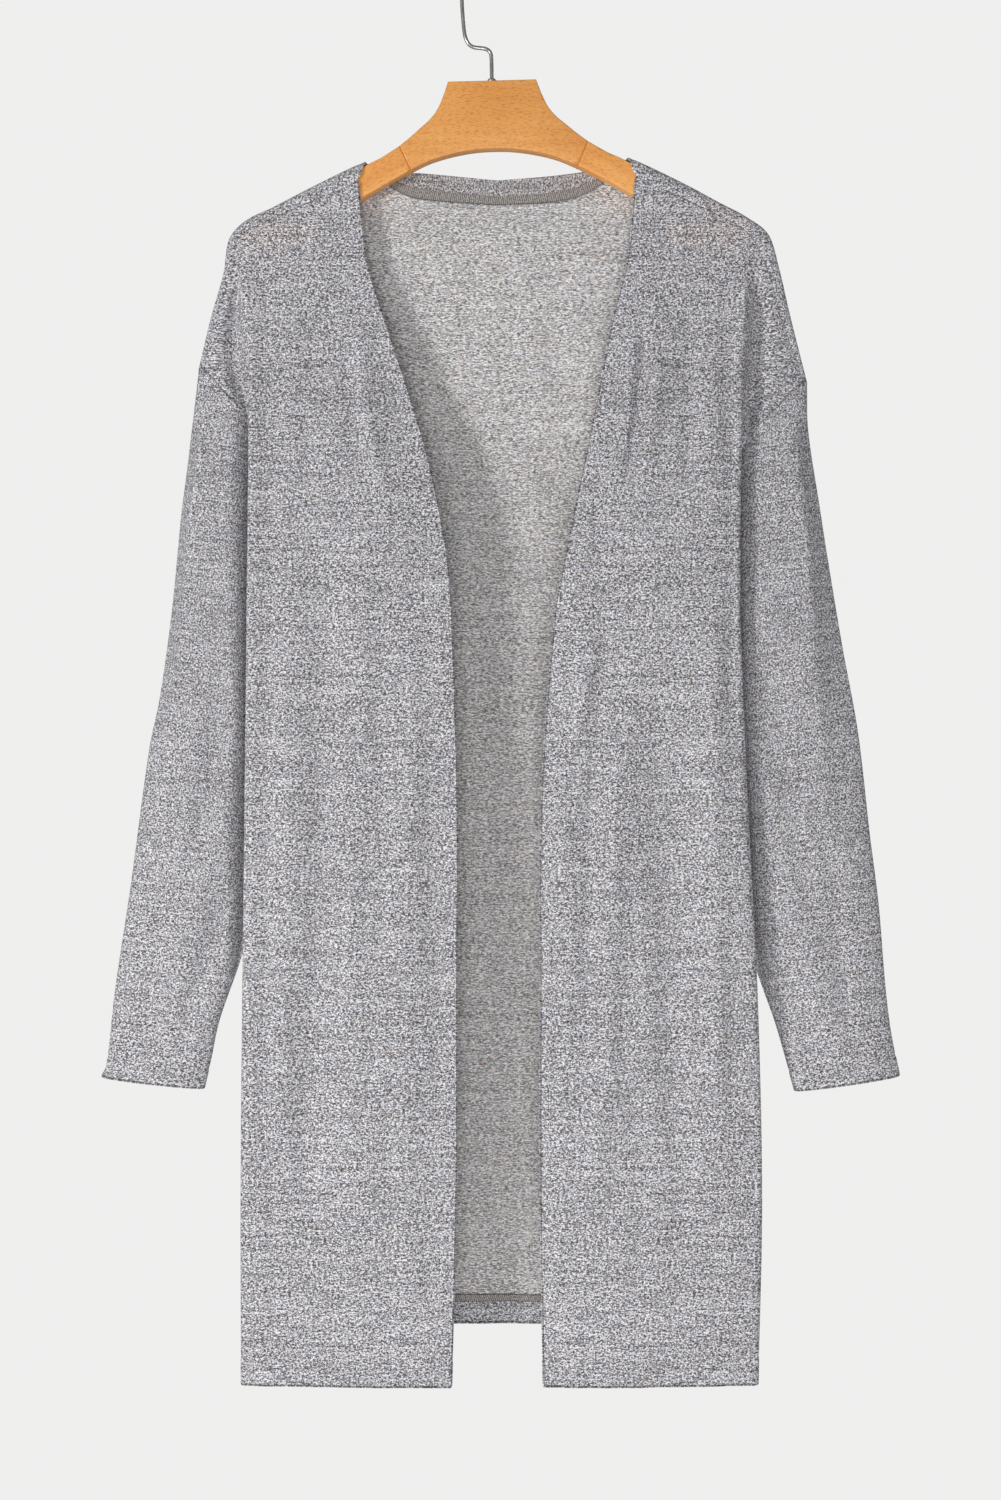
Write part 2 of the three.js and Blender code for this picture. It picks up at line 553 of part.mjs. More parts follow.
function frontPanel(name, sideName) {
  const side = SIDES[sideName];
  const rows = frontRows(side);
  const start = hemStart(880);
  const downs = steps(24, SEAM_GAP / 300, 1, [start, start + 0.003]);
  const grid = downs.map((down) => ACROSS.map((across) =>
    frontPoint(side, rows, FRONT_FOLDS[sideName], Math.min(across, 0.9985), down)));
  return mesh(name, wall(grid, false, hemmed(downs, start), side.sign > 0), CLOTH_LOOK);
}

const BACK_HALVES = {
  right: { side: SIDES.right, rows: backRows(SIDES.right, NECK_EDGE.right) },
  left: { side: SIDES.left, rows: backRows(SIDES.left, NECK_EDGE.left) },
};

function backPanel() {
  const half = [
    ...NECK_COLUMNS.map((t) => t * NECK_SHARE),
    ...ACROSS.map((t) => lerp(NECK_SHARE, 1, t)).filter((t, i) => i !== 1 && i !== 3 && i !== 5),
  ];
  const acrosses = [...half.slice(1).reverse().map((t) => -t), ...half];
  const start = hemStart(880);
  const downs = steps(20, 0.1, 1, [...STRIP_DOWNS, 0.08, start, start + 0.003]);
  const grid = downs.map((down) => acrosses.map((across) =>
    backPoint(BACK_HALVES, Math.sign(across) * Math.min(Math.abs(across), 0.9985), down)));
  return mesh("back", wall(grid, false, hemmed(downs, start), false), CLOTH_LOOK);
}

function sleeve(name, sideName) {
  const side = SIDES[sideName];
  const start = hemStart(500);
  const downs = steps(18, SEAM_GAP / 200, 1, [start, start + 0.004]);
  const grid = downs.map((down) => ringPlaces(24).map((around) => sleevePoint(side, around, down)));
  return mesh(name, wall(grid, true, hemmed(downs, start), side.sign < 0), CLOTH_LOOK);
}

// Band round the inside of the back neck, made from the back's own points
function neckBand() {
  const half = NECK_COLUMNS.filter((t) => t <= BAND_END).map((t) => t * NECK_SHARE);
  const across = [...half.slice(1).reverse().map((t) => -t), ...half];
  const grid = [...STRIP_DOWNS, BAND_LOW].map((down) => across.map((t) => backPoint(BACK_HALVES, t, down)));
  const top = -CLOTH / 2 - SEAM_GAP;
  return mesh("neck_band", wall(grid, false, () => ({ outside: top, inside: top - BAND }), false), BAND_LOOK);
}

// Outline of one half of the hanger board, measured out from its middle and down from its flat top
const BOARD_UPPER = [
  { out: 33, z: -1.2 }, { out: 36.5, z: -11 }, { out: 41.5, z: -21.7 }, { out: 47, z: -28.7 },
  { out: 54.3, z: -35.1 }, { out: 62, z: -41.7 }, { out: 70.5, z: -48.3 }, { out: 85, z: -57 },
  { out: 94, z: -61.2 }, { out: 108, z: -68.8 }, { out: 131, z: -80 }, { out: 163.7, z: -97.8 },
  { out: 180, z: -106.6 }, { out: 189, z: -112.5 }, { out: 194, z: -118.5 }, { out: 195, z: -124 },
];
const BOARD_LOWER = [
  { out: 0, z: -52 }, { out: 15, z: -52.7 }, { out: 32, z: -55.5 }, { out: 48, z: -60 },
  { out: 62.5, z: -66.5 }, { out: 73, z: -72 }, { out: 89, z: -80.8 }, { out: 104, z: -89.8 },
  { out: 131, z: -104.5 }, { out: 163, z: -120 }, { out: 182, z: -129 }, { out: 190, z: -131 },
  { out: 193.6, z: -129 },
];
const GLUE_UPPER = 70.5;
const GLUE_LOWER = 62.5;

// Flat board of the given outline, turned to the hanger's tilt
function board(name, outline) {
  const shape = new THREE.Shape(outline.map((p) => new THREE.Vector2(p.x, p.z)));
  const geometry = new THREE.ExtrudeGeometry(shape, { depth: BOARD, bevelEnabled: false });
  geometry.translate(0, 0, -BOARD / 2);
  geometry.rotateX(Math.PI / 2);
  geometry.rotateY(-THREE.MathUtils.degToRad(BOARD_TILT));
  geometry.translate(0, 0, BOARD_TOP_Z);
  return mesh(name, geometry, WOOD_LOOK);
}

function boardCentre() {
  const upper = BOARD_UPPER.filter((p) => p.out <= GLUE_UPPER);
  const lower = BOARD_LOWER.filter((p) => p.out <= GLUE_LOWER);
  const half = [...lower, ...[...upper].reverse()];
  const outline = [
    ...half.map((p) => ({ x: p.out, z: p.z })),
    ...[...half].reverse().filter((p) => p.out > 0).map((p) => ({ x: -p.out, z: p.z })),
  ];
  return board("hanger_centre", outline);
}

function boardArm(name, sign) {
  const shift = (p, at) => (p.out === at ? { ...p, out: p.out + GLUE_GAP } : p);
  const upper = BOARD_UPPER.filter((p) => p.out >= GLUE_UPPER).map((p) => shift(p, GLUE_UPPER));
  const lower = BOARD_LOWER.filter((p) => p.out >= GLUE_LOWER).map((p) => shift(p, GLUE_LOWER));
  const outline = [...lower, ...[...upper].reverse()].map((p) => ({ x: sign * p.out, z: p.z }));
  return board(name, outline);
}

// Height of the hook's foot and the collar, just clear of the tilted board
const FOOT_Z = BOARD_TOP_Z + BOARD_UPPER[0].z + GLUE_GAP;

// Middle line of the hook wire: stem, sideways jog, riser, and the loop over the rail
function hookLine() {
  const points = [
    [0, FOOT_Z], [-0.2, -80], [-0.5, -71.5], [-1.6, -68], [-4.6, -66], [-9, -65.3],
    [-13.8, -64.6], [-17, -62.6], [-19, -59.5], [-20.4, -55], [-21.6, -44], [-22.4, -32],
  ];
  for (let degrees = 180; degrees >= -15; degrees -= 13) {
    const a = THREE.MathUtils.degToRad(degrees);
    points.push([LOOP_RADIUS * Math.cos(a), WIRE / 2 - LOOP_RADIUS + LOOP_RADIUS * Math.sin(a)]);
  }
  return points.map(([x, z]) => new THREE.Vector3(x, 0, z));
}

// Round wire along a line that lies in the hanger's plane
function hook() {
  const line = hookLine();
  const sides = 10;
  const points = [];
  line.forEach((p, i) => {
    const along = line[Math.min(line.length - 1, i + 1)].clone().sub(line[Math.max(0, i - 1)]).normalize();
    const level = new THREE.Vector3(0, 1, 0);
    const across = level.clone().cross(along);
    for (let j = 0; j < sides; j += 1) {
      const a = (2 * Math.PI * j) / sides;
      points.push(p.clone()
        .addScaledVector(across, (WIRE / 2) * Math.cos(a))
        .addScaledVector(level, (WIRE / 2) * Math.sin(a)));
    }
  });
  const index = [];
  const id = (i, j) => i * sides + (j % sides);
  for (let i = 0; i < line.length - 1; i += 1) {
    for (let j = 0; j < sides; j += 1) {
      index.push(id(i, j), id(i, j + 1), id(i + 1, j + 1), id(i, j), id(i + 1, j + 1), id(i + 1, j));
    }
  }
  for (let j = 1; j < sides - 1; j += 1) {
    index.push(id(0, 0), id(0, j + 1), id(0, j));
    index.push(id(line.length - 1, 0), id(line.length - 1, j), id(line.length - 1, j + 1));
  }
  return mesh("hook", solid(points, index), WIRE_LOOK);
}

// Small collar round the foot of the hook
function ferrule() {
  const inner = WIRE / 2 + GLUE_GAP;
  const low = FOOT_Z;
  const profile = [
    [inner, low], [FERRULE_RADIUS, low], [FERRULE_RADIUS, low + 1.6], [FERRULE_RADIUS - 0.8, low + FERRULE_HEIGHT],
    [inner, low + FERRULE_HEIGHT], [inner, low],
  ].map(([r, z]) => new THREE.Vector2(r, z));
  const geometry = new THREE.LatheGeometry(profile, 24);
  geometry.rotateX(Math.PI / 2);
  return mesh("ferrule", geometry, WIRE_LOOK);
}

const object = new THREE.Group();
object.add(frontPanel("right_front", "right"));
object.add(frontPanel("left_front", "left"));
object.add(backPanel());
object.add(sleeve("right_sleeve", "right"));
object.add(sleeve("left_sleeve", "left"));
object.add(neckBand());
object.add(boardCentre());
object.add(boardArm("hanger_right_arm", -1));
object.add(boardArm("hanger_left_arm", 1));
object.add(hook());
object.add(ferrule());

export default object;
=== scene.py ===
# Dresses the open-front cardigan and its hanger: knit shells on the cloth solids, seams, wood and wire.
import math
from functools import partial

import bmesh
import bpy
import numpy as np
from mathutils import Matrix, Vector


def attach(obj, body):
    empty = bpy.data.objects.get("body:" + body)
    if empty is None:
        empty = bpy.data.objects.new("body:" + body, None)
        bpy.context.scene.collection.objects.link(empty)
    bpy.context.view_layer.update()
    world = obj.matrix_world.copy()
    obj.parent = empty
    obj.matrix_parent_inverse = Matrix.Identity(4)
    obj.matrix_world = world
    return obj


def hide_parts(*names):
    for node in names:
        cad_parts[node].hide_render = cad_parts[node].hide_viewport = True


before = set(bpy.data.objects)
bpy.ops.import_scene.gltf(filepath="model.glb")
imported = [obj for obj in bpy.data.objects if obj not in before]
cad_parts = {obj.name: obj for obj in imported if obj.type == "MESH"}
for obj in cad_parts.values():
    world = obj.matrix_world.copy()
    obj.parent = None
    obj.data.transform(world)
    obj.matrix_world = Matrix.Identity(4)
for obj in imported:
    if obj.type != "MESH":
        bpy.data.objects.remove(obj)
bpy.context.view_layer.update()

MM = 0.001

# Cloth, in millimetres
KNIT = 1.3                 # thickness of the knit
TURN_UP = 0.9              # extra thickness of a turned hem, on the inside
HEM = 20.0                 # height of the turned hem
CUFF_HEM = 15.0
FACE_TOP, FACE_LOW = -8.0, -29.0
FACE_TOP_Z, FACE_LOW_Z = -200.0, -450.0
BACK_TOP, BACK_LOW = 9.0, 28.0
FOLD_HALF = 5.0
FRONT_FOLD_DEPTH, BACK_FOLD_DEPTH = 20.0, 11.0
BACK_FOLD_INSET = 4.0
SLEEVE_HALF = 15.0
ARMHOLE_HALF = 11.0
ARMHOLE_BOW = 13.0
SINK, SINK_WIDE = 18.0, 16.0   # how far a sleeve sinks back beside the side fold, and how wide
LAYER_GAP = 2.0            # between the middles of two layers sewn face to face
BAND = 1.0                 # thickness of the neck band
BAND_LOW = 0.07            # share down the back of its lower edge

# Hanger, in millimetres
BOARD = 12.0
BOARD_EDGE = 1.1           # rounding of the board's edges
BOARD_TILT = math.radians(1.5)
BOARD_TOP_Z = -90.0
GLUE_UPPER, GLUE_LOWER = 70.5, 62.5
WIRE = 3.0
LOOP_RADIUS = 22.5
FERRULE_RADIUS, FERRULE_HEIGHT = 3.4, 2.4
FOOT_Z = BOARD_TOP_Z - 0.9

# Shares across a panel, from its front or neck edge (0) to its armhole or side seam (1)
ARM, OUTER, FOLD_IN, FOLD, FOLD_OUT, TUCK = 0.25, 0.5, 0.74, 0.8, 0.86, 0.93
SHARES = np.array([0, ARM, OUTER, FOLD_IN, FOLD, FOLD_OUT, TUCK, 1])
NECK_SHARE = 0.4           # share of each half of the back that lies within the neck
STRIP = 0.06               # share down the back by which every column is behind the hanger


def table(columns, *rows):
    """Named columns of numbers, sorted by the first one."""
    values = np.array(sorted(rows), float)
    return {name: values[:, i] for i, name in enumerate(columns.split())}


def cubic(keys, values, at):
    """Smooth values at the given places, by a cubic through rows of values."""
    keys = np.asarray(keys, float)
    values = np.asarray(values, float)
    at = np.clip(np.asarray(at, float), keys[0], keys[-1])
    i = np.clip(np.searchsorted(keys, at) - 1, 0, len(keys) - 2)
    low = np.maximum(np.arange(len(keys)) - 1, 0)
    high = np.minimum(np.arange(len(keys)) + 1, len(keys) - 1)
    shape = (-1,) + (1,) * (values.ndim - 1)
    slope = (values[high] - values[low]) / (keys[high] - keys[low]).reshape(shape)
    step = (keys[i + 1] - keys[i]).reshape(at.shape + (1,) * (values.ndim - 1))
    t = ((at - keys[i])).reshape(step.shape) / step
    h = t * t * (3 - 2 * t)
    return (values[i] * (1 - h) + values[i + 1] * h
            + slope[i] * step * t * (1 - t) ** 2 + slope[i + 1] * step * t * t * (t - 1))


def read(rows, key, column, at):
    return cubic(rows[key], rows[column], at)


def mix(a, b, t):
    return a + (b - a) * t


def smooth(t):
    t = np.clip(t, 0, 1)
    return t * t * (3 - 2 * t)


# One side of the garment each. "out" is measured away from the middle, z from the rail.
RIGHT = {
    "sign": -1,
    "shoulder": table(
        "at ridge_out ridge_z seam_out seam_z seam_y",
        (0, 94, -151.7, 100.3, -167.7, -8), (ARM, 131, -169.5, 130.6, -180.6, -8.2),
        (OUTER, 163.7, -186.5, 160, -193.5, -8.2), (FOLD_IN, 186, -198, 182, -204, -8.2),
        (FOLD, 196.5, -211, 190, -211.5, -7.8), (FOLD_OUT, 200.5, -236, 195.5, -234, -6.6),
        (TUCK, 210, -269, 205, -268, -5.4), (1, 219.3, -307, 218, -305.4, -2.2)),
    "edge": table(
        "z out", (-167.7, 100.3), (-208.9, 97.6), (-246.4, 88.4), (-297, 72), (-354, 54), (-404, 41.3),
        (-451, 33.5), (-510, 29.3), (-629, 26.1), (-924, 27), (-1047, 26.3), (-1062, 30.6)),
    "fold": table(
        "z out", (-211, 190), (-256, 180.5), (-355, 179.8), (-555, 181.3), (-739, 183.5), (-924, 185),
        (-1046, 187.4), (-1060, 184.4)),
    "sleeve_out": table(
        "z out", (-307, 219.3), (-319, 220.6), (-379, 227.7), (-415.5, 232.4), (-488, 239.5),
        (-552.5, 248.5), (-591, 256.4), (-694.5, 270.5), (-772, 282.1), (-829, 288.6), (-836, 292)),
    "sleeve_in": table(
        "z out", (-481, 121), (-741.5, 187), (-794.7, 205), (-822.8, 211), (-844.5, 216)),
    "crease": table(
        "z back", (-307, 8), (-369, 10), (-442, 14.5), (-554, 17), (-629, 22), (-850, 28)),
    "neck_arm": table(
        "at out over", (0.07, 97.2, 0.27), (0.11, 95.2, 0.42), (0.14, 94, 0.5), (0.18, 92.6, 0.62),
        (0.26, 89, 0.85)),
    "neck_back": table("at out y z", (0.6, 50.3, 10.5, -157.5), (1, -4, 11, -162.6)),
}
LEFT = {
    "sign": 1,
    "shoulder": table(
        "at ridge_out ridge_z seam_out seam_z seam_y",
        (0, 101, -148.5, 107.6, -164.5, -8), (ARM, 139.2, -166.5, 137, -178, -8.2),
        (OUTER, 170, -183, 167, -192, -8.2), (FOLD_IN, 193, -195.5, 187, -203, -8.2),
        (FOLD, 207, -207.5, 196, -213, -7.8), (FOLD_OUT, 215, -234, 207, -237, -6.6),
        (TUCK, 223, -268, 216, -269, -5.4), (1, 235.6, -317, 233.6, -314.6, -2.2)),
    "edge": table(
        "z out", (-164.5, 107.6), (-207.4, 106.1), (-251.4, 94.7), (-300.5, 84.9), (-366, 71.7),
        (-433, 57.8), (-510, 43.7), (-547, 39.3), (-666, 36.7), (-924, 36.3), (-1036, 36.5),
        (-1062, 38.7)),
    "fold": table(
        "z out", (-213, 196), (-265, 191.6), (-361, 184.7), (-528, 183.4), (-642, 189.2), (-756, 195.1),
        (-850, 197.7), (-1041, 199.8), (-1060, 196)),
    "sleeve_out": table(
        "z out", (-317, 235.6), (-352, 236.5), (-410, 245.2), (-448.5, 251.2), (-514, 262.1),
        (-578, 273.8), (-655.5, 282.8), (-707, 289.3), (-769.5, 294.5), (-802, 298.5), (-835, 305)),
    "sleeve_in": table("z out", (-488, 121), (-756.5, 199), (-796.5, 213), (-846.4, 227.2)),
    "crease": table("z back", (-317, 9), (-417, 20), (-490, 29), (-573, 36), (-850, 40)),
    "neck_arm": table(
        "at out over", (0.07, 104.2, 0.25), (0.11, 102.2, 0.4), (0.14, 101, 0.5), (0.18, 99.6, 0.62),
        (0.26, 96, 0.85)),
    "neck_back": table("at out y z", (0.6, 52, 10.5, -158.5), (1, 4, 11, -162.6)),
}
FRONT_HEM, BACK_HEM = -1060.0, -1028.0
SIDE_SEAM_OUT, SIDE_SEAM_HEM = 128.0, -1046.0

# Heights of each row of a panel at its inner edge and at its side fold; how far the fold is closed;
# and its outer end, as a share of the armhole (up to 1) or 1 plus a share of the side seam
ROWS = "down edge fold turn end"
FRONT_ROWS = table(
    ROWS, (0.07, -226, -252, 0, 0.1), (0.13, -268, -292, 0.2, 0.17), (0.19, -318, -334, 0.6, 0.26),
    (0.26, -375, -384, 1, 0.48), (0.34, -440, -450, 1, 0.8), (0.37, -465, -473, 1, 0.92),
    (0.4, -490, -496, 1, 1), (0.55, -628, -630, 1, 1.25), (0.7, -772, -772, 1, 1.5),
    (0.86, -924, -924, 1, 1.77), (1, FRONT_HEM - 1.5, FRONT_HEM + 1, 1, 2))
BACK_ROWS = table(
    ROWS, (0.1, -198, -250, 0, 0.1), (0.15, -236, -290, 0, 0.17), (0.2, -290, -332, 0.35, 0.26),
    (0.27, -354, -380, 0.85, 0.48), (0.35, -425, -448, 1, 0.8), (0.38, -452, -468, 1, 0.92),
    (0.41, -480, -490, 1, 1), (0.56, -610, -624, 1, 1.25), (0.71, -752, -764, 1, 1.5),
    (0.86, -898, -910, 1, 1.77), (1, BACK_HEM, BACK_HEM - 12, 1, 2))
# Section of the cloth over the hanger's arm beside the neck
OVER_ARM = table(
    "over y drop", (0, -8, 16), (0.25, -8.4, 4.2), (0.4, -6.5, 0.2), (0.5, 0, 0), (0.62, 6, 0.7),
    (0.8, 8.4, 4), (1, 9, 13))

FOLD_STRENGTH = 1.35
# Soft folds: a line from a to b that may bow sideways, the depth (+ sinks in) and the half width on
# its inner and outer side
STROKE = "out_a z_a out_b z_b bow depth inner outer"
RIGHT_FOLDS = table(
    STROKE,
    (121, -470, 140, -930, -5, 4.2, 13, 13), (98, -280, 82, -400, 3, -3.2, 8, 7),
    (162, -300, 164, -980, 2, 2.2, 8, 8), (60, -560, 64, -1010, 0, -2, 16, 16),
    (106, -300, 93, -395, 3, 2, 6, 8), (150, -560, 156, -900, 0, -1.4, 9, 9),
    (96, -600, 104, -1000, 3, -1.8, 12, 12), (45, -470, 47, -760, 0, 1.2, 8, 8),
    (132, -262, 136, -420, 2, 1.4, 11, 11), (85, -560, 81, -760, -2, 0.8, 5, 5),
    (70, -800, 75, -1040, 2, 0.9, 6, 6), (167, -880, 170, -1050, 0, -0.8, 6, 6))
LEFT_FOLDS = table(
    STROKE,
    (113.5, -283, 101, -392, 1.5, 4.6, 5, 6), (122, -298, 111, -385, 1.5, -3.4, 6, 8),
    (86, -490, 69, -820, -3, 4, 8, 9), (91, -600, 80, -900, 0, -2.6, 8, 9),
    (128, -590, 139, -930, 0, 4, 14, 14), (163, -500, 165, -870, 0, -3, 9, 9),
    (163, -280, 164, -380, 0, -2, 8, 8), (149, -270, 146, -400, 0, 1.4, 8, 8),
    (65, -480, 54, -545, 0, 1.1, 4, 5), (76, -515, 60, -585, 0, -1.1, 4, 5),
    (67, -440, 60, -500, 0, -0.9, 4, 4), (100, -430, 96, -560, 0, 0.8, 7, 7),
    (53, -620, 51, -1000, 0, -0.8, 5, 5), (110, -830, 106, -1030, 0, 1.2, 10, 10),
    (178, -330, 176, -560, 0, 1.2, 7, 7))
BACK_FOLDS = table(
    STROKE,
    (-62, -330, -78, -860, 4, 4, 15, 15), (18, -420, 10, -960, 3, 3, 20, 20),
    (84, -300, 101, -800, -4, 5, 14, 14), (-132, -380, -139, -980, 0, 4, 11, 11),
    (-102, -270, -116, -520, 4, -2.5, 9, 9), (125, -360, 140, -640, 4, -2.4, 9, 9),
    (46, -520, 57, -990, 2, -2, 12, 12), (-30, -600, -40, -1000, 0, 1.4, 9, 9),
    (150, -560, 156, -960, 0, 2.4, 9, 9), (-160, -600, -158, -900, 0, -1.6, 8, 8))
# Soft ridge on each side fold above the armhole, with a trough beside it
RIGHT["side_fold"] = table(
    STROKE, (195, -232, 188, -352, 0, 7, 7, 9), (185, -232, 179, -372, 0, -3.4, 7, 6))
LEFT["side_fold"] = table(
    STROKE, (200, -240, 192, -352, 0, 6.5, 7, 9), (190, -240, 184, -372, 0, -2.4, 7, 6))


def stroke_depth(strokes, out, z):
    """Depth that the soft folds add at each place."""
    total = np.zeros_like(out)
    for k in range(len(strokes["depth"])):
        s = {name: column[k] for name, column in strokes.items()}
        dx, dz = s["out_b"] - s["out_a"], s["z_b"] - s["z_a"]
        length = math.hypot(dx, dz)
        t = ((out - s["out_a"]) * dx + (z - s["z_a"]) * dz) / length ** 2
        off = ((z - s["z_a"]) * dx - (out - s["out_a"]) * dz) / length
        off = off - s["bow"] * 4 * t * (1 - t)
        width = np.where(off < 0, s["inner"], s["outer"])
        fade = smooth((t + 0.12) / 0.26) * smooth((1.14 - t) / 0.36)
        total += FOLD_STRENGTH * s["depth"] * fade * np.exp(-(off / width) ** 2)
    return total


def ripple(out, z, seed, amount, wide, tall):
    """Slight unevenness, as a sum of a few seeded waves that mostly run down the cloth."""
    random = np.random.default_rng(seed)
    total = np.zeros_like(out)
    for _ in range(9):
        kx = 2 * math.pi / (wide * random.uniform(0.7, 2.2))
        kz = 2 * math.pi / (tall * random.uniform(0.6, 2.0)) * random.choice([-1, 1])
        total += random.uniform(0.4, 1) * np.sin(kx * out + kz * z + random.uniform(0, 6.28))
    return total * amount / 2.1


def face_y(z):
    return mix(FACE_TOP, FACE_LOW, smooth((FACE_TOP_Z - z) / (FACE_TOP_Z - FACE_LOW_Z)))


def back_y(z):
    return mix(BACK_TOP, BACK_LOW, smooth((-185 - z) / 250))


def sink(side, depth, oval, half, out, z):
    """Depth of the sleeve's front where it sinks back and runs in behind the side fold."""
    near = np.clip(1 - (out - read(side["fold"], "z", "out", z)) / SINK_WIDE, 0, 1.1)
    return np.maximum(depth - SINK * near ** 2, -0.5 * oval * half)


def armhole(side, share, face):
    """Point of the armhole (out, y, z): share 0 at the shoulder, 1 at the armpit; face -1 front, 1 back."""
    top_out, top_z = side["sleeve_out"]["out"][-1], side["sleeve_out"]["z"][-1]
    low_out, low_z = side["sleeve_in"]["out"][-1], side["sleeve_in"]["z"][-1]
    length = math.hypot(top_out - low_out, top_z - low_z)
    bow = ARMHOLE_BOW * np.sin(np.pi * share ** 0.75)
    out = mix(top_out, low_out, share) + bow * (low_z - top_z) / length
    z = mix(top_z, low_z, share) - bow * (low_out - top_out) / length
    oval = np.sin(np.pi * np.clip(share, 0, 1)) ** 0.4
    depth = ARMHOLE_HALF * oval
    if face < 0:
        depth = sink(side, depth, oval, ARMHOLE_HALF, out, z)
    return np.array([out, face * depth, z])


def row_end(side, end, face):
    """Outer end of a panel's row: on the armhole, or on the side seam in the bottom of the tuck."""
    if end <= 1:
        out, y, z = armhole(side, end, face)
        hidden = smooth((end - 0.45) / 0.2)
        out -= LAYER_GAP * hidden * (1 + 1.2 * smooth((end - 0.8) / 0.15))
        y += face * LAYER_GAP * 0.6 * hidden * (1 - 0.5 * smooth((end - 0.9) / 0.1))
        return np.array([out, y, z])
    pit_out, pit_z = side["sleeve_in"]["out"][-1], side["sleeve_in"]["z"][-1]
    return np.array([
        mix(pit_out - 2.2 * LAYER_GAP, SIDE_SEAM_OUT, end - 1),
        face * LAYER_GAP * 0.45,
        mix(pit_z - 4, SIDE_SEAM_HEM, end - 1)])


def fold_points(out, z, y, end, turn, face):
    """Control points of a row over its side fold: five (out, y, z) from the face to the row's end."""
    seat = face * (FRONT_FOLD_DEPTH if face < 0 else BACK_FOLD_DEPTH)
    along, rise = (0.42, 0.3) if face < 0 else (0.62, 0.14)
    opened = np.array([
        [out, y - face * 2], [mix(out, end[0], 0.35), y - face * 3.5],
        [mix(out, end[0], 0.7), mix(y, end[1], 0.8)]])
    shut = np.array([
        [out, y - face * FOLD_HALF], [out - 5, y - seat],
        [mix(out - 5, end[0], along), mix(y - seat, end[1], rise)]])
    turned = mix(opened, shut, turn)
    heights = [z, mix(z, end[2], 0.3), mix(z, end[2], 0.65)]
    points = [[out - 6, y - face * 0.4, z]]
    points += [[p[0], p[1], h] for p, h in zip(turned, heights)]
    return np.array(points + [list(end)])


def front_grid(side, folds, seed, across, downs):
    """Middle surface of a front panel, as rows of (out, y, z)."""
    sh = side["shoulder"]
    rows = [(0.0, np.stack([sh["seam_out"], sh["seam_y"], sh["seam_z"]], 1))]
    for down, edge_z, fold_z, turn, end in zip(*(FRONT_ROWS[k] for k in ROWS.split())):
        edge = float(read(side["edge"], "z", "out", edge_z))
        fold = float(read(side["fold"], "z", "out", fold_z))
        face = [[edge, 0.8 * face_y(edge_z) - 1.6, edge_z]]
        for share in (0.33, 0.67):
            z = mix(edge_z, fold_z, share)
            face.append([mix(edge, fold - 6, share), face_y(z), z])
        turned = fold_points(fold, fold_z, face_y(fold_z), row_end(side, end, -1), turn, -1)
        rows.append((down, np.vstack([face, turned])))
    columns = np.stack([cubic(SHARES, points, across) for _, points in rows])
    grid = cubic([down for down, _ in rows], columns, downs)
    on_face = smooth(across / 0.08)[None, :] * smooth((FOLD - across) / 0.07)[None, :]
    out, z = grid[..., 0], grid[..., 2]
    grid[..., 1] += stroke_depth(folds, out, z) * on_face
    beside = smooth((across - 0.5) / 0.1)[None, :] * smooth((1 - across) / 0.06)[None, :]
    beside = beside * smooth((downs - 0.01) / 0.04)[:, None]
    grid[..., 1] += stroke_depth(side["side_fold"], out, z) * beside
    lower = smooth((-240 - z) / 120)
    grid[..., 1] += ripple(out, z, seed, 0.55, 34, 420) * on_face * lower
    # The free front edge waves a little
    near_edge = 1 - smooth(across / 0.16)
    grid[..., 1] += ripple(out * 0, z, seed + 1, 0.7, 500, 120) * near_edge * lower
    return grid


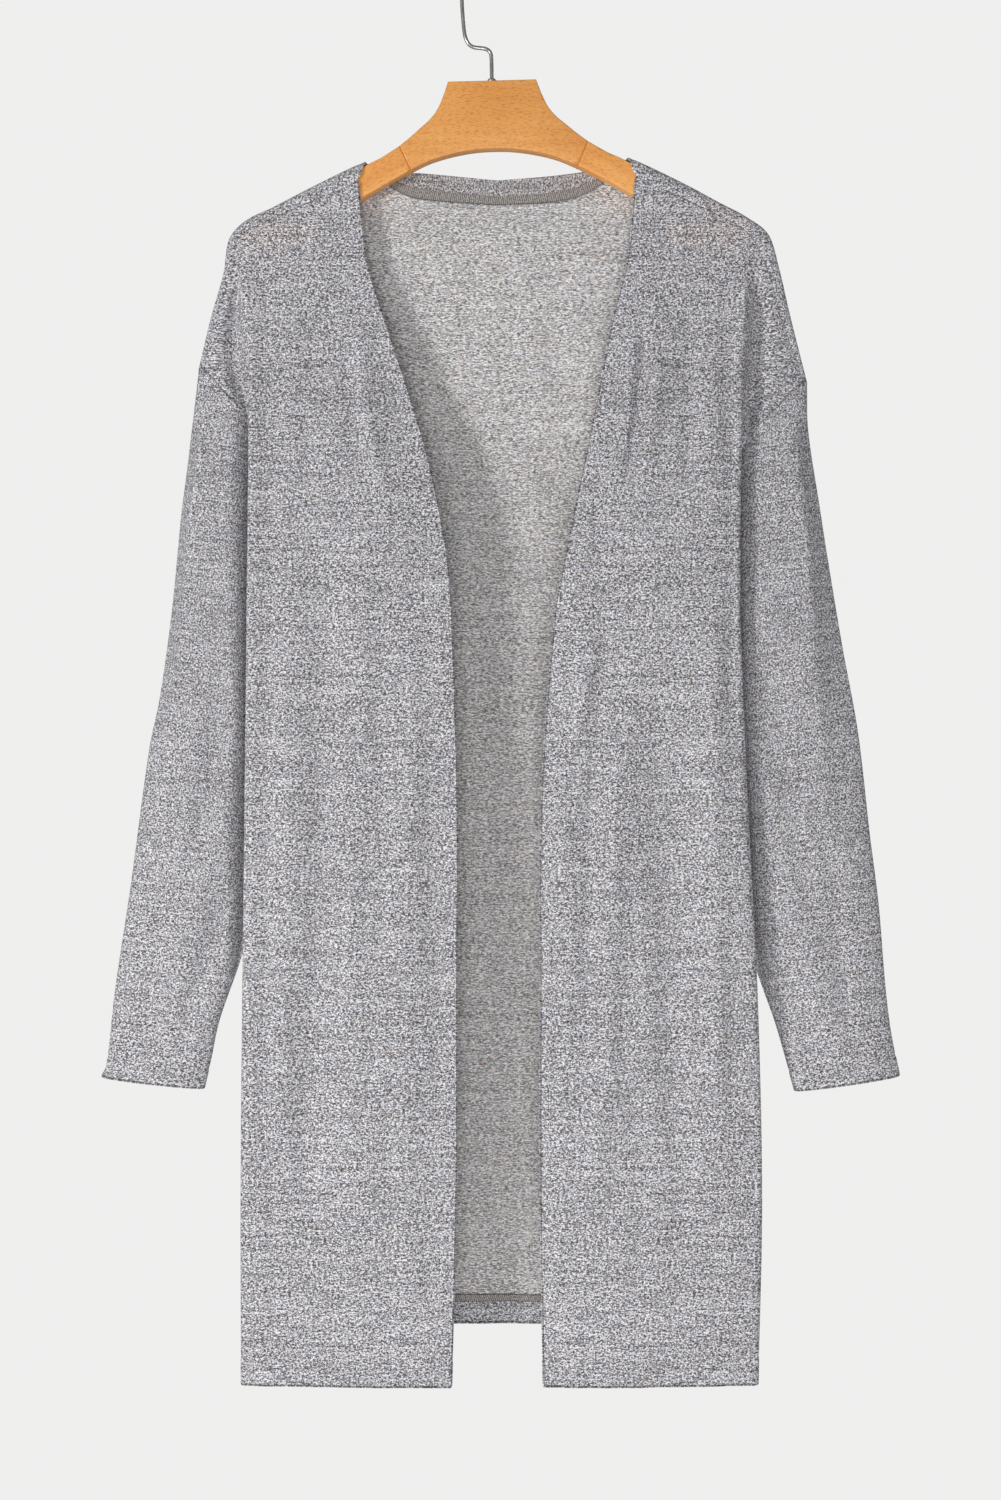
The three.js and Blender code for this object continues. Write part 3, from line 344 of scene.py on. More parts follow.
def back_grid(side, across, downs):
    """Middle surface of one half of the back; across runs from the middle (0) to the side seam (1)."""
    sh = side["shoulder"]
    arm, behind_neck = side["neck_arm"], side["neck_back"]
    outside = mix(NECK_SHARE, 1, SHARES)
    neck_at = np.concatenate([(1 - behind_neck["at"][::-1]), (1 - arm["at"][::-1])]) * NECK_SHARE
    ridge = sh["ridge_z"][0] + 0.5 * (sh["ridge_out"][0] - arm["out"])

    def strip_row(down, shoulder):
        share = down / STRIP
        over = mix(arm["over"], 1, share)
        on_arm = np.stack([arm["out"], read(OVER_ARM, "over", "y", over),
                           ridge - read(OVER_ARM, "over", "drop", over)], 1)
        level = np.stack([
            behind_neck["out"],
            mix(behind_neck["y"], back_y(behind_neck["z"] - 14), share),
            behind_neck["z"] - 14 * share], 1)
        points = np.vstack([level[::-1], on_arm[::-1], shoulder])
        return down, np.concatenate([neck_at, outside]), points

    def rise(share, depth):
        return np.stack([mix(sh["seam_out"], sh["ridge_out"], share), sh["seam_y"] * depth,
                         mix(sh["seam_z"], sh["ridge_z"], share)], 1)

    def behind(lower, depth, hole):
        end = armhole(side, hole, 1)
        share = np.clip((SHARES - FOLD_IN) / (1 - FOLD_IN), 0, 1) ** 2
        return np.stack([mix(sh["ridge_out"] - 0.3 * lower, end[0], share),
                         mix(-sh["seam_y"] * depth, end[1], share),
                         mix(sh["ridge_z"] - lower, end[2], share)], 1)

    rows = [
        strip_row(0.0, rise(0, 1)), strip_row(0.012, rise(0.68, 0.98)), strip_row(0.021, rise(0.96, 0.7)),
        strip_row(0.03, rise(1, 0)), strip_row(0.039, behind(0.5, 0.7, 0.004)),
        strip_row(0.048, behind(4, 1.03, 0.016)), strip_row(STRIP, behind(12, 1.1, 0.045))]
    level_shares = np.array([0, 0.2, 0.41, 0.48, 0.56, 0.7, 0.84])
    level_at = np.concatenate([
        np.array([0, 0.4, 0.74, 0.86, 1]) * NECK_SHARE, mix(NECK_SHARE, 1, np.array([ARM, OUTER]))])
    for down, middle_z, fold_z, turn, end in zip(*(BACK_ROWS[k] for k in ROWS.split())):
        fold = float(read(side["fold"], "z", "out", fold_z)) - BACK_FOLD_INSET
        z = mix(middle_z, fold_z, level_shares ** 2)
        level = np.stack([(fold - 6) * level_shares, back_y(z), z], 1)
        turned = fold_points(fold, fold_z, back_y(fold_z), row_end(side, end, 1), turn, 1)
        at = np.concatenate([level_at, mix(NECK_SHARE, 1, SHARES[3:])])
        rows.append((down, at, np.vstack([level, turned])))
    columns = np.stack([cubic(at, points, across) for _, at, points in rows])
    return cubic([row[0] for row in rows], columns, downs)


def whole_back(across, downs):
    """Middle surface of the back in true x, from the wearer's right side seam (-1) to the left (1)."""
    halves = []
    for side, pick in ((RIGHT, across < 0), (LEFT, across >= 0)):
        half = back_grid(side, np.abs(across[pick]), downs)
        half[..., 0] *= side["sign"]
        halves.append(half)
    grid = np.concatenate(halves, 1)
    x, z = grid[..., 0], grid[..., 2]
    lower = smooth((downs - 0.1) / 0.1)[:, None]
    on_face = smooth((mix(NECK_SHARE, 1, FOLD) - np.abs(across)) / 0.08)[None, :] * lower
    grid[..., 1] -= stroke_depth(BACK_FOLDS, x, z) * on_face
    grid[..., 1] -= ripple(x, z, 31, 0.6, 40, 480) * on_face
    return grid


def sleeve_grid(side, folds, seed, around, downs):
    """Middle surface of a sleeve in true x; around is 0 on its outer line and 0.5 at the underarm."""
    share = np.where(around <= 0.5, around * 2, 2 - around * 2)[None, :] + 0 * downs[:, None]
    front = (around <= 0.5)[None, :]
    face = np.where(front, -1.0, 1.0)
    down = downs[:, None]
    outer_z = mix(side["sleeve_out"]["z"][-1], side["sleeve_out"]["z"][0], down)
    inner_z = mix(side["sleeve_in"]["z"][-1], side["sleeve_in"]["z"][0], down)
    outer = read(side["sleeve_out"], "z", "out", outer_z)
    inner = read(side["sleeve_in"], "z", "out", inner_z)
    width = np.hypot(outer - inner, outer_z - inner_z)
    half = mix(ARMHOLE_HALF, SLEEVE_HALF, smooth(down / 0.16)) * mix(1, 0.72, smooth((down - 0.6) / 0.4))
    oval = np.sin(np.pi * share) ** 0.4
    c = read(side["crease"], "z", "back", outer_z) / width
    beyond = np.sin((0.5 + 0.5 * np.clip((share - c) / (1 - c), 0, 1)) * np.pi)
    facet = np.where(share < c, share / c, np.clip(beyond, 0, 1) ** 0.4)
    creased = 0.9 * smooth(down / 0.12) * smooth((0.72 - down) / 0.3)
    profile = np.where(front, mix(oval, facet, creased), oval)
    bow = ARMHOLE_BOW * (1 - smooth(down / 0.25)) * np.sin(np.pi * share ** 0.75)
    out = mix(outer, inner, share) + bow * (inner_z - outer_z) / width
    z = mix(outer_z, inner_z, share) - bow * (inner - outer) / width
    on_face = smooth((share - 0.06) / 0.12) * smooth((0.97 - share) / 0.12) * smooth(down / 0.1)
    depth = profile * half
    depth = np.where(front, sink(side, depth, oval, half, out, z), depth)
    depth = depth - stroke_depth(folds, share * 100, z) * on_face
    depth = depth - ripple(share * 100, z, seed, 0.45, 60, 160) * on_face
    return np.stack([side["sign"] * out, face * depth, z], -1)


def normals(grid, closed):
    if closed:
        du = np.roll(grid, -1, 1) - np.roll(grid, 1, 1)
    else:
        du = np.gradient(grid, axis=1)
    n = np.cross(du, np.gradient(grid, axis=0))
    return n / np.maximum(np.linalg.norm(n, axis=2, keepdims=True), 1e-9)


def lengths(grid, axis):
    """Distance run along a grid's rows or columns, from 0."""
    steps = np.linalg.norm(np.diff(grid, axis=axis), axis=2)
    pad = [(0, 0), (0, 0)]
    pad[axis] = (1, 0)
    return np.pad(np.cumsum(steps, axis=axis), pad)


def shell(name, grid, looks, skins, closed=False, flip=False, turned=False, origin=0, over=None):
    """A closed thin shell on a middle surface (millimetres), with rounded rims and a map in metres.

    looks are the materials of the outside, the inside and the turned hem, and skins the offsets
    of the outer and the inner skin. turned marks the places whose inside shows the turned hem.
    origin is the column that the map counts from. over is given for a panel that hangs plumb:
    its map runs level and straight up, and over is the share of each row by which the cloth
    lies over the hanger.
    """
    rows, columns = grid.shape[:2]
    n = normals(grid, closed) * (-1 if flip else 1)
    outer, inner = (grid + n * np.broadcast_to(by, (rows, columns))[..., None] for by in skins)
    wrapped = np.concatenate([grid, grid[:, :1]], 1) if closed else grid
    u = lengths(wrapped, 1)
    u = u - u[:, origin:origin + 1]
    v = lengths(grid, 0)
    v = v[-1:, :] - v
    v = np.concatenate([v, v[:, :1]], 1) if closed else v
    if over is not None:
        level = lengths(grid * [1, 0.5, 0], 1)
        u = np.abs(grid[:, origin:origin + 1, 0]) + level - level[:, origin:origin + 1]
        v = grid[..., 2] + grid[..., 1] * over[:, None]
    spans = columns if closed else columns - 1
    base = rows * columns

    def ident(i, j):
        return i * columns + j % columns

    i, j = np.meshgrid(np.arange(rows - 1), np.arange(spans), indexing="ij")
    i, j = i.ravel(), j.ravel()
    corners = [(i, j), (i, j + 1), (i + 1, j + 1), (i + 1, j)]
    outer_faces = np.stack([ident(a, b) for a, b in corners], 1)
    inner_faces = outer_faces[:, ::-1] + base
    map_faces = np.stack([np.stack([u[a, b], v[a, b]], 1) for a, b in corners], 1)
    faces = [outer_faces, inner_faces]
    maps = [map_faces, map_faces[:, ::-1]]
    mask = np.broadcast_to(turned, (rows, columns))
    slots = [np.zeros(len(i), int), np.where(mask[i, j % columns], 2, 1)]
    points = [outer.reshape(-1, 3), inner.reshape(-1, 3)]
    used = 2 * base
    for ring_i, ring_j, step_i, step_j in rims(rows, columns, closed):
        back_i = np.clip(ring_i - step_i, 0, rows - 1)
        back_j = (ring_j - step_j) % columns if closed else np.clip(ring_j - step_j, 0, columns - 1)
        away = grid[ring_i, ring_j] - grid[back_i, back_j]
        away /= np.maximum(np.linalg.norm(away, axis=1, keepdims=True), 1e-9)
        raised = (outer[ring_i, ring_j] - inner[ring_i, ring_j]) / 2
        middle = (outer[ring_i, ring_j] + inner[ring_i, ring_j]) / 2
        reach = away * np.linalg.norm(raised, axis=1, keepdims=True)
        count = len(ring_i)
        here = np.arange(count)
        after = (here + 1) % count
        strips = [ident(ring_i, ring_j)]
        for turn in (0.25, 0.5, 0.75):
            points.append(middle + raised * math.cos(math.pi * turn) + reach * math.sin(math.pi * turn))
            strips.append(used + here)
            used += count
        strips.append(ident(ring_i, ring_j) + base)
        edge_map = np.stack([u[ring_i, ring_j], v[ring_i, ring_j]], 1)
        pair = np.stack([edge_map[here], edge_map[here], edge_map[after], edge_map[after]], 1)
        for a, b in zip(strips, strips[1:]):
            faces.append(np.stack([a[here], b[here], b[after], a[after]], 1))
            maps.append(pair)
            slots.append(np.zeros(count, int))
    faces = np.concatenate(faces)
    maps = np.concatenate(maps)
    if flip:
        faces = faces[:, ::-1]
        maps = maps[:, ::-1]
    return mesh_piece(name, np.concatenate(points) * MM, faces, looks, np.concatenate(slots), maps * MM)


def rims(rows, columns, closed):
    """Open edges of a grid as rings of (i, j) with the direction that leads out of the grid."""
    if closed:
        j = np.arange(columns)
        flat = np.zeros(columns, int)
        return [(flat, j[::-1], flat - 1, flat), (flat + rows - 1, j, flat + 1, flat)]
    top = [(0, j) for j in range(columns - 1, 0, -1)]
    left = [(i, 0) for i in range(rows - 1)]
    low = [(rows - 1, j) for j in range(columns - 1)]
    right = [(i, columns - 1) for i in range(rows - 1, 0, -1)]
    ring = np.array(top + left + low + right)
    i, j = ring[:, 0], ring[:, 1]
    step_i = np.where(i == 0, -1, np.where(i == rows - 1, 1, 0))
    step_j = np.where(j == 0, -1, np.where(j == columns - 1, 1, 0))
    return [(i, j, step_i, step_j)]


def link(name, data):
    """A new object in the scene that shows the data."""
    made = bpy.data.objects.new(name, data)
    bpy.context.scene.collection.objects.link(made)
    return made


def mesh_piece(name, points, faces, looks, slots=None, maps=None):
    """A mesh object from arrays, with its materials, a map named knit and smooth shading."""
    mesh = bpy.data.meshes.new(name)
    mesh.from_pydata(points.tolist(), [], [list(map(int, f)) for f in faces])
    for look in looks:
        mesh.materials.append(look)
    if slots is not None:
        mesh.polygons.foreach_set("material_index", np.asarray(slots, np.int32))
    if maps is not None:
        layer = mesh.uv_layers.new(name="knit")
        layer.data.foreach_set("uv", np.ascontiguousarray(maps, dtype=np.float32).ravel())
    mesh.polygons.foreach_set("use_smooth", np.full(len(mesh.polygons), True))
    mesh.update()
    return link(name, mesh)


def tube(name, line, radius, look, sides):
    """A round wire along a line of points (millimetres), with closed ends."""
    along = np.gradient(line, axis=0)
    along /= np.linalg.norm(along, axis=1, keepdims=True)
    level = np.cross(along, [0.0, 1.0, 0.0])
    level /= np.maximum(np.linalg.norm(level, axis=1, keepdims=True), 1e-9)
    other = np.cross(along, level)
    line = np.vstack([line[:1] - along[:1] * radius * 0.5, line, line[-1:] + along[-1:] * radius * 0.5])
    level = np.vstack([level[:1], level, level[-1:]])
    other = np.vstack([other[:1], other, other[-1:]])
    radii = np.full(len(line), radius)
    radii[[0, -1]] *= 0.6
    angle = 2 * np.pi * np.arange(sides) / sides
    ring = level[:, None] * np.cos(angle)[None, :, None] + other[:, None] * np.sin(angle)[None, :, None]
    points = (line[:, None] + ring * radii[:, None, None]).reshape(-1, 3)
    faces = []
    for i in range(len(line) - 1):
        for j in range(sides):
            k = (j + 1) % sides
            faces.append([i * sides + j, i * sides + k, (i + 1) * sides + k, (i + 1) * sides + j])
    faces.append(list(range(sides))[::-1])
    faces.append([(len(line) - 1) * sides + j for j in range(sides)])
    return mesh_piece(name, points * MM, faces, [look])


def spread(*parts):
    """Places made of even runs, each given as (start, stop, steps)."""
    places = [np.linspace(a, b, n, endpoint=False) for a, b, n in parts]
    return np.concatenate(places + [[parts[-1][1]]])


# Materials

FULL_TURN = 6.2832
WALE, COURSE = 1.75 * MM, 1.2 * MM       # width and height of one stitch
BEECH = np.array([(0.8, 0.33, 0.08), (0.87, 0.39, 0.102), (0.92, 0.46, 0.135)])


def new_material(name, base, roughness, **finish):
    """A material with its nodes and shader; finish sets more of the shader's values by name."""
    material = bpy.data.materials.new(name)
    material.use_nodes = True
    bsdf = material.node_tree.nodes["Principled BSDF"]
    bsdf.inputs["Base Color"].default_value = (*base, 1)
    bsdf.inputs["Roughness"].default_value = roughness
    for key, value in finish.items():
        bsdf.inputs[key.replace("_", " ")].default_value = value
    return material, material.node_tree, bsdf


def feed(tree, node, key, value):
    """Links a socket to a node's input, or sets the input to a value."""
    if isinstance(value, bpy.types.NodeSocket):
        tree.links.new(value, node.inputs[key])
    else:
        node.inputs[key].default_value = value


def add_node(tree, kind, **inputs):
    node = tree.nodes.new("ShaderNode" + kind)
    for name, value in inputs.items():
        feed(tree, node, name.replace("_", " "), value)
    return node


def calculate(tree, operation, *values):
    node = tree.nodes.new("ShaderNodeMath")
    node.operation = operation
    for i, value in enumerate(values):
        feed(tree, node, i, value)
    return node.outputs[0]


def ramp(tree, value, *stops):
    """Colour by a value; stops are (place, (r, g, b))."""
    node = add_node(tree, "ValToRGB", Fac=value)
    elements = node.color_ramp.elements
    while len(elements) < len(stops):
        elements.new(0.5)
    for element, (place, colour) in zip(elements, stops):
        element.position = place
        element.color = (*colour, 1)
    return node.outputs["Color"]


def multiply_colours(tree, factor, a, b):
    node = tree.nodes.new("ShaderNodeMix")
    node.data_type = "RGBA"
    node.blend_type = "MULTIPLY"
    for key, value in ((0, factor), (6, a), (7, b)):
        feed(tree, node, key, value)
    return node.outputs[2]


def noise(tree, place, scale, detail=2.0, rough=0.5, **mapping):
    """Noise at a place, stretched by scale."""
    at = add_node(tree, "Mapping", Vector=place, Scale=scale, **mapping).outputs["Vector"]
    return add_node(tree, "TexNoise", Vector=at, Scale=1.0, Detail=detail, Roughness=rough).outputs["Fac"]


def add_bump(tree, bsdf, height, strength, distance):
    bump = add_node(tree, "Bump", Height=height, Strength=strength, Distance=distance)
    tree.links.new(bump.outputs["Normal"], bsdf.inputs["Normal"])


def vary_roughness(tree, bsdf, value, low, high):
    shine = add_node(tree, "MapRange", Value=value, To_Min=low, To_Max=high)
    tree.links.new(shine.outputs["Result"], bsdf.inputs["Roughness"])


def cloth_map(tree):
    """The map of the cloth, and its level and its upright direction."""
    place = tree.nodes.new("ShaderNodeUVMap")
    place.uv_map = "knit"
    split = add_node(tree, "SeparateXYZ", Vector=place.outputs["UV"])
    return place.outputs["UV"], split.outputs["X"], split.outputs["Y"]


def knit_material(name, dark, middle, light, wide, tall, contrast, purl=False, shows_wood=False):
    """Marled jersey: flecks of mixed yarn along the courses, faint bars, and the relief of the stitches.

    wide and tall are the size of a fleck in metres, contrast how far the flecks part.
    """
    material, tree, bsdf = new_material(name, middle, 0.93, Sheen_Weight=0.12, Sheen_Roughness=0.6,
                                        Specular_IOR_Level=0.2)
    uv, x, y = cloth_map(tree)
    calc = partial(calculate, tree)

    def flecks(width, height, detail, rough, seed):
        return noise(tree, uv, (1 / width, 1 / height, 1), detail, rough,
                     Location=(seed, seed * 0.7, seed * 0.3))

    fine = flecks(wide * 0.42, tall * 0.6, 0.0, 0.5, 11.7)
    bar = flecks(38 * MM, 2.1 * MM, 1.0, 0.5, 5.3)
    cloud = flecks(55 * MM, 80 * MM, 1.0, 0.5, 8.9)
    value = calc("MULTIPLY", flecks(wide, tall, 1.5, 0.75, 3.1), 0.62)
    value = calc("MULTIPLY_ADD", fine, 0.38, value)
    value = calc("MULTIPLY_ADD", calc("SUBTRACT", bar, 0.5), 0.11, value)
    value = calc("MULTIPLY_ADD", calc("SUBTRACT", cloud, 0.5), 0.02, value)
    colour = ramp(tree, value, (0.5 - contrast, dark), (0.5, middle), (0.5 + contrast, light))
    # Single fibres of a cooler and a warmer grey
    hue = flecks(wide * 1.6, tall * 0.9, 0.0, 0.5, 21.3)
    tint = ramp(tree, hue, (0.36, (0.955, 0.985, 1.045)), (0.52, (1, 1, 1)), (0.66, (1.035, 0.995, 0.985)))
    colour = multiply_colours(tree, 1.0, colour, tint)
    if shows_wood:
        # The board shows faintly through the stretched cloth at the end of each shoulder
        side = calc("DIVIDE", calc("SUBTRACT", x, 0.163), 0.030)
        height = calc("DIVIDE", calc("ADD", y, 0.206), 0.013)
        far = calc("MULTIPLY_ADD", side, side, calc("MULTIPLY", height, height))
        near = calc("DIVIDE", 1.0, calc("ADD", calc("MULTIPLY", far, far), 1.0))
        colour = multiply_colours(tree, calc("MULTIPLY", near, 0.45), colour, (1.07, 0.95, 0.86, 1))
    feed(tree, bsdf, "Base Color", colour)

    across = calc("DIVIDE", x, WALE)
    along = calc("DIVIDE", y, COURSE)
    leg = calc("ABSOLUTE", calc("SUBTRACT", calc("FRACT", across), 0.5))
    slant = calc("MULTIPLY_ADD", leg, 0.6 if purl else -1.5, along)
    stitch = calc("SINE", calc("MULTIPLY", slant, FULL_TURN))
    if purl:
        height = calc("MULTIPLY_ADD", stitch, 0.5, 0.5)
    else:
        rib = calc("COSINE", calc("MULTIPLY", across, FULL_TURN))
        height = calc("MULTIPLY_ADD", stitch, 0.35, calc("MULTIPLY_ADD", rib, -0.45, 0.5))
    add_bump(tree, bsdf, calc("MULTIPLY_ADD", fine, 0.9, height), 0.55, 0.00022)
    return material


def overlock_material(name, base, pitch, contrast, diagonal):
    """Overlocked edge: fine slanted cords side by side, each a slightly different grey."""
    material, tree, bsdf = new_material(name, base, 0.95, Sheen_Weight=0.1)
    uv, x, y = cloth_map(tree)
    calc = partial(calculate, tree)
    cords = calc("DIVIDE", calc("MULTIPLY_ADD", y, diagonal, x), pitch)
    wave = calc("SINE", calc("MULTIPLY", cords, FULL_TURN))
    grain = noise(tree, uv, (560, 800, 1), 1.5, 0.75)
    dark = tuple(c * 0.5 for c in base)
    light = tuple(min(1, c * 1.55) for c in base)
    value = calc("MULTIPLY_ADD", wave, contrast, grain)
    feed(tree, bsdf, "Base Color", ramp(tree, value, (0.39, dark), (0.5, base), (0.61, light)))
    add_bump(tree, bsdf, calc("MULTIPLY_ADD", grain, 0.6, wave), 0.6, 0.00025)
    return material


def wood_material(name, lean, seed, light=1.0):
    """Beech: warm board with short dark flecks and soft streaks that run along the piece."""
    material, tree, bsdf = new_material(name, (0.66, 0.34, 0.13), 0.42, Coat_Weight=0.15,
                                        Coat_Roughness=0.35)
    place = tree.nodes.new("ShaderNodeTexCoord").outputs["Object"]

    def grain(scale, detail, shift):
        at = add_node(tree, "Mapping", Vector=place, Location=(seed + shift, shift, seed),
                      Rotation=(0, lean, 0))
        return noise(tree, at.outputs["Vector"], scale, detail)

    streak = grain((7, 120, 160), 3.0, 0.0)
    fleck = grain((300, 1800, 1600), 1.0, 2.0)
    cloud = grain((14, 20, 30), 1.0, 4.0)
    body = calculate(tree, "MULTIPLY_ADD", cloud, 0.5, calculate(tree, "MULTIPLY", streak, 0.5))
    colour = ramp(tree, body, *zip((0.34, 0.5, 0.66), (light * BEECH).tolist()))
    spots = ramp(tree, fleck, (0.36, (0.62, 0.48, 0.36)), (0.45, (1, 1, 1)), (1.0, (1.04, 1.06, 1.1)))
    feed(tree, bsdf, "Base Color", multiply_colours(tree, 0.6, colour, spots))
    vary_roughness(tree, bsdf, streak, 0.36, 0.5)
    add_bump(tree, bsdf, fleck, 0.25, 0.0001)
    return material


def wire_material():
    """Nickel plated wire with faint draw marks."""
    material, tree, bsdf = new_material("wire", (0.52, 0.51, 0.49), 0.3, Metallic=1.0)
    marks = noise(tree, tree.nodes.new("ShaderNodeTexCoord").outputs["Object"], (900, 900, 120))
    feed(tree, bsdf, "Base Color", ramp(tree, marks, (0.3, (0.42, 0.41, 0.39)), (0.7, (0.60, 0.59, 0.57))))
    vary_roughness(tree, bsdf, marks, 0.2, 0.42)
    return material


OUTSIDE = knit_material("knit_outside", (0.075, 0.071, 0.075), (0.35, 0.34, 0.352), (0.88, 0.87, 0.895),
                        2.0 * MM, 1.25 * MM, 0.108, shows_wood=True)
INSIDE = knit_material("knit_inside", (0.165, 0.155, 0.15), (0.52, 0.502, 0.493), (0.97, 0.952, 0.94),
                       3.2 * MM, 1.05 * MM, 0.128, purl=True)
RIB = knit_material("neck_knit", (0.09, 0.085, 0.088), (0.34, 0.328, 0.335), (0.78, 0.76, 0.775),
                    1.15 * MM, 1.7 * MM, 0.11)
OVERLOCK = overlock_material("overlock", (0.30, 0.28, 0.27), 1.6 * MM, 0.13, 0.35)
WIRE_LOOK = wire_material()


# Cloth

PANEL_LOOKS = [OUTSIDE, INSIDE, OUTSIDE]
EDGE_TURN = 11.0           # width of the front edge's turning


def line_dip(distance, depth, half):
    return -depth * np.exp(-(distance / half) ** 2)


def hem_skins(from_hem, hem, dip, half):
    """Offsets of both skins of cloth whose hem is turned up to the inside and sewn down."""
    within = hem - from_hem
    out_by = KNIT / 2 + line_dip(within, dip, half) + 0.25 * smooth(within / 3)
    return out_by, -KNIT / 2 - TURN_UP * smooth(within / 0.6)


def front(name, side, folds, seed):
    """A front panel with its turned hem and folded front edge, and the edging of its hem."""
    across = spread((0, 0.05, 10), (0.05, 0.7, 62), (0.7, 0.9, 40), (0.9, 1, 16))
    downs = spread((0, 0.02, 8), (0.02, 0.97, 220), (0.97, 1, 16))
    grid = front_grid(side, folds, seed, across, downs)
    grid[..., 0] *= side["sign"]
    flip = side["sign"] > 0
    up = lengths(grid, 0)
    from_hem = up[-1:] - up
    within = EDGE_TURN - lengths(grid, 1)
    out_by, in_by = hem_skins(from_hem, HEM, 0.32, 1.3)
    out_by = out_by + line_dip(up, 0.5, 1.4) + line_dip(within, 0.22, 1.2) + 0.2 * smooth(within / 3)
    in_by = np.minimum(in_by, -KNIT / 2 - 0.7 * smooth(within / 1.5))
    shown = shell(name, grid, PANEL_LOOKS, (out_by, in_by), flip=flip, turned=from_hem < HEM,
                  origin=40, over=0 * downs)
    return shown, hem_edging(name.replace("shell", "edging"), grid[:, 4:-6], flip)


def relax(grid, weight, rounds=22):
    """Evens a grid out along its rows and columns, as far as weight says."""
    for _ in range(rounds):
        padded = np.concatenate([2 * grid[:1] - grid[1:2], grid, 2 * grid[-1:] - grid[-2:-1]])
        middle = (padded[:-2] + padded[2:] + np.roll(grid, 1, 1) + np.roll(grid, -1, 1)) / 4
        grid = mix(grid, middle, weight[..., None])
    return grid


def back():
    """The back with its turned hem, and the edging of its hem."""
    half = spread((0, 0.24, 36), (0.24, 0.4, 40), (0.4, 0.82, 62), (0.82, 0.95, 40), (0.95, 1, 12))
    across = np.concatenate([-half[:0:-1], half])
    downs = spread((0, 0.06, 36), (0.06, 0.97, 200), (0.97, 1, 14))
    grid = whole_back(across, downs)
    # The corner where the neck edge turns over the hanger's arm is soft
    corner = np.exp(-((np.abs(across) - NECK_SHARE) / 0.022) ** 2)
    grid = relax(grid, 0.8 * corner[None, :] * smooth((0.06 - downs) / 0.03)[:, None])
    up = lengths(grid, 0)
    from_hem = up[-1:] - up
    out_by, in_by = hem_skins(from_hem, HEM, 0.32, 1.3)
    shown = shell("back_shell", grid, PANEL_LOOKS, (out_by + line_dip(up, 0.5, 1.4), in_by),
                  turned=from_hem < HEM, origin=len(half) - 1, over=1 - smooth((downs - 0.05) / 0.06))
    return shown, hem_edging("back_edging", grid[:, 6:-6], False)


def ring_places(count):
    t = np.arange(count) / count * 2
    share = np.where(t <= 1, (1 - np.cos(np.pi * t)) / 2, 1 + (1 - np.cos(np.pi * (t - 1))) / 2)
    return mix(t, share, 0.75) / 2


RIGHT_SLEEVE_FOLDS = table(
    STROKE,
    (40, -520, 52, -700, 4, 2.2, 9, 9), (66, -560, 60, -800, -4, -1.6, 10, 10),
    (30, -640, 36, -820, 0, 1.2, 7, 7), (78, -700, 70, -830, 0, 1.4, 8, 8))
LEFT_SLEEVE_FOLDS = table(
    STROKE,
    (45, -520, 55, -720, 4, 2.0, 9, 9), (68, -600, 62, -800, -4, -1.6, 10, 10),
    (32, -660, 40, -820, 0, 1.3, 7, 7), (80, -700, 72, -830, 0, 1.2, 8, 8))


def sleeve(name, side, folds, seed):
    """A sleeve as one tube, its cuff turned up."""
    downs = spread((-0.003, 0.03, 12), (0.03, 0.96, 170), (0.96, 1, 16))
    grid = sleeve_grid(side, folds, seed, ring_places(110), downs)
    up = lengths(grid, 0)
    from_hem = up[-1:] - up
    return shell(name, grid, PANEL_LOOKS, hem_skins(from_hem, CUFF_HEM, 0.3, 1.2), closed=True,
                 flip=side["sign"] < 0, turned=from_hem < CUFF_HEM)


def neck_band():
    """Band on the inside of the back neck, overlocked along its lower edge."""
    across = np.linspace(-0.302, 0.302, 161)
    rows = np.linspace(0, 1, 34)
    downs = np.linspace(0.0008, 0.085, 60)
    surface = whole_back(across, downs)
    # Lower edge: a little higher towards the ends, where the band runs up behind the arms
    low = BAND_LOW - 0.012 * smooth((np.abs(across) - 0.2) / 0.1)
    middle = np.stack([cubic(downs, surface[:, j], mix(downs[0], low[j], rows))
                       for j in range(len(across))], 1)
    edge = smooth((rows - 0.78) / 0.03)[:, None]
    seat = KNIT / 2 + 0.3
    return shell("neck_band_shell", middle, [RIB, RIB, OVERLOCK], (-seat, -seat - BAND - 0.35 * edge),
                 turned=(rows > 0.78)[:, None], origin=80)


def hem_edging(name, grid, flip):
    """Overlocked edge of a turned hem: a narrow raised strip along its top, on the inside."""
    up = lengths(grid, 0)
    from_hem = up[-1:] - up
    heights = np.linspace(HEM + 1.2, HEM - 3.8, 7)
    strip = np.stack([
        np.stack([np.interp(-heights, -from_hem[:, j], grid[:, j, k]) for k in range(3)], 1)
        for j in range(grid.shape[1])], 1)
    strip = strip - normals(strip, False) * (-1 if flip else 1) * (KNIT / 2 + TURN_UP + 0.35)
    return shell(name, strip, [OVERLOCK] * 3, (0.3, -0.3), flip=flip, origin=strip.shape[1] // 2)


# Hanger

BOARD_UPPER = [
    (33, -1.2), (36.5, -11), (41.5, -21.7), (47, -28.7), (54.3, -35.1), (62, -41.7), (70.5, -48.3),
    (85, -57), (94, -61.2), (108, -68.8), (131, -80), (163.7, -97.8), (180, -106.6), (189, -112.5),
    (194, -118.5), (195, -124), (193.6, -129)]
BOARD_LOWER = [
    (0, -52), (15, -52.7), (32, -55.5), (48, -60), (62.5, -66.5), (73, -72), (89, -80.8), (104, -89.8),
    (131, -104.5), (163, -120), (182, -129), (190, -131), (193.6, -129)]


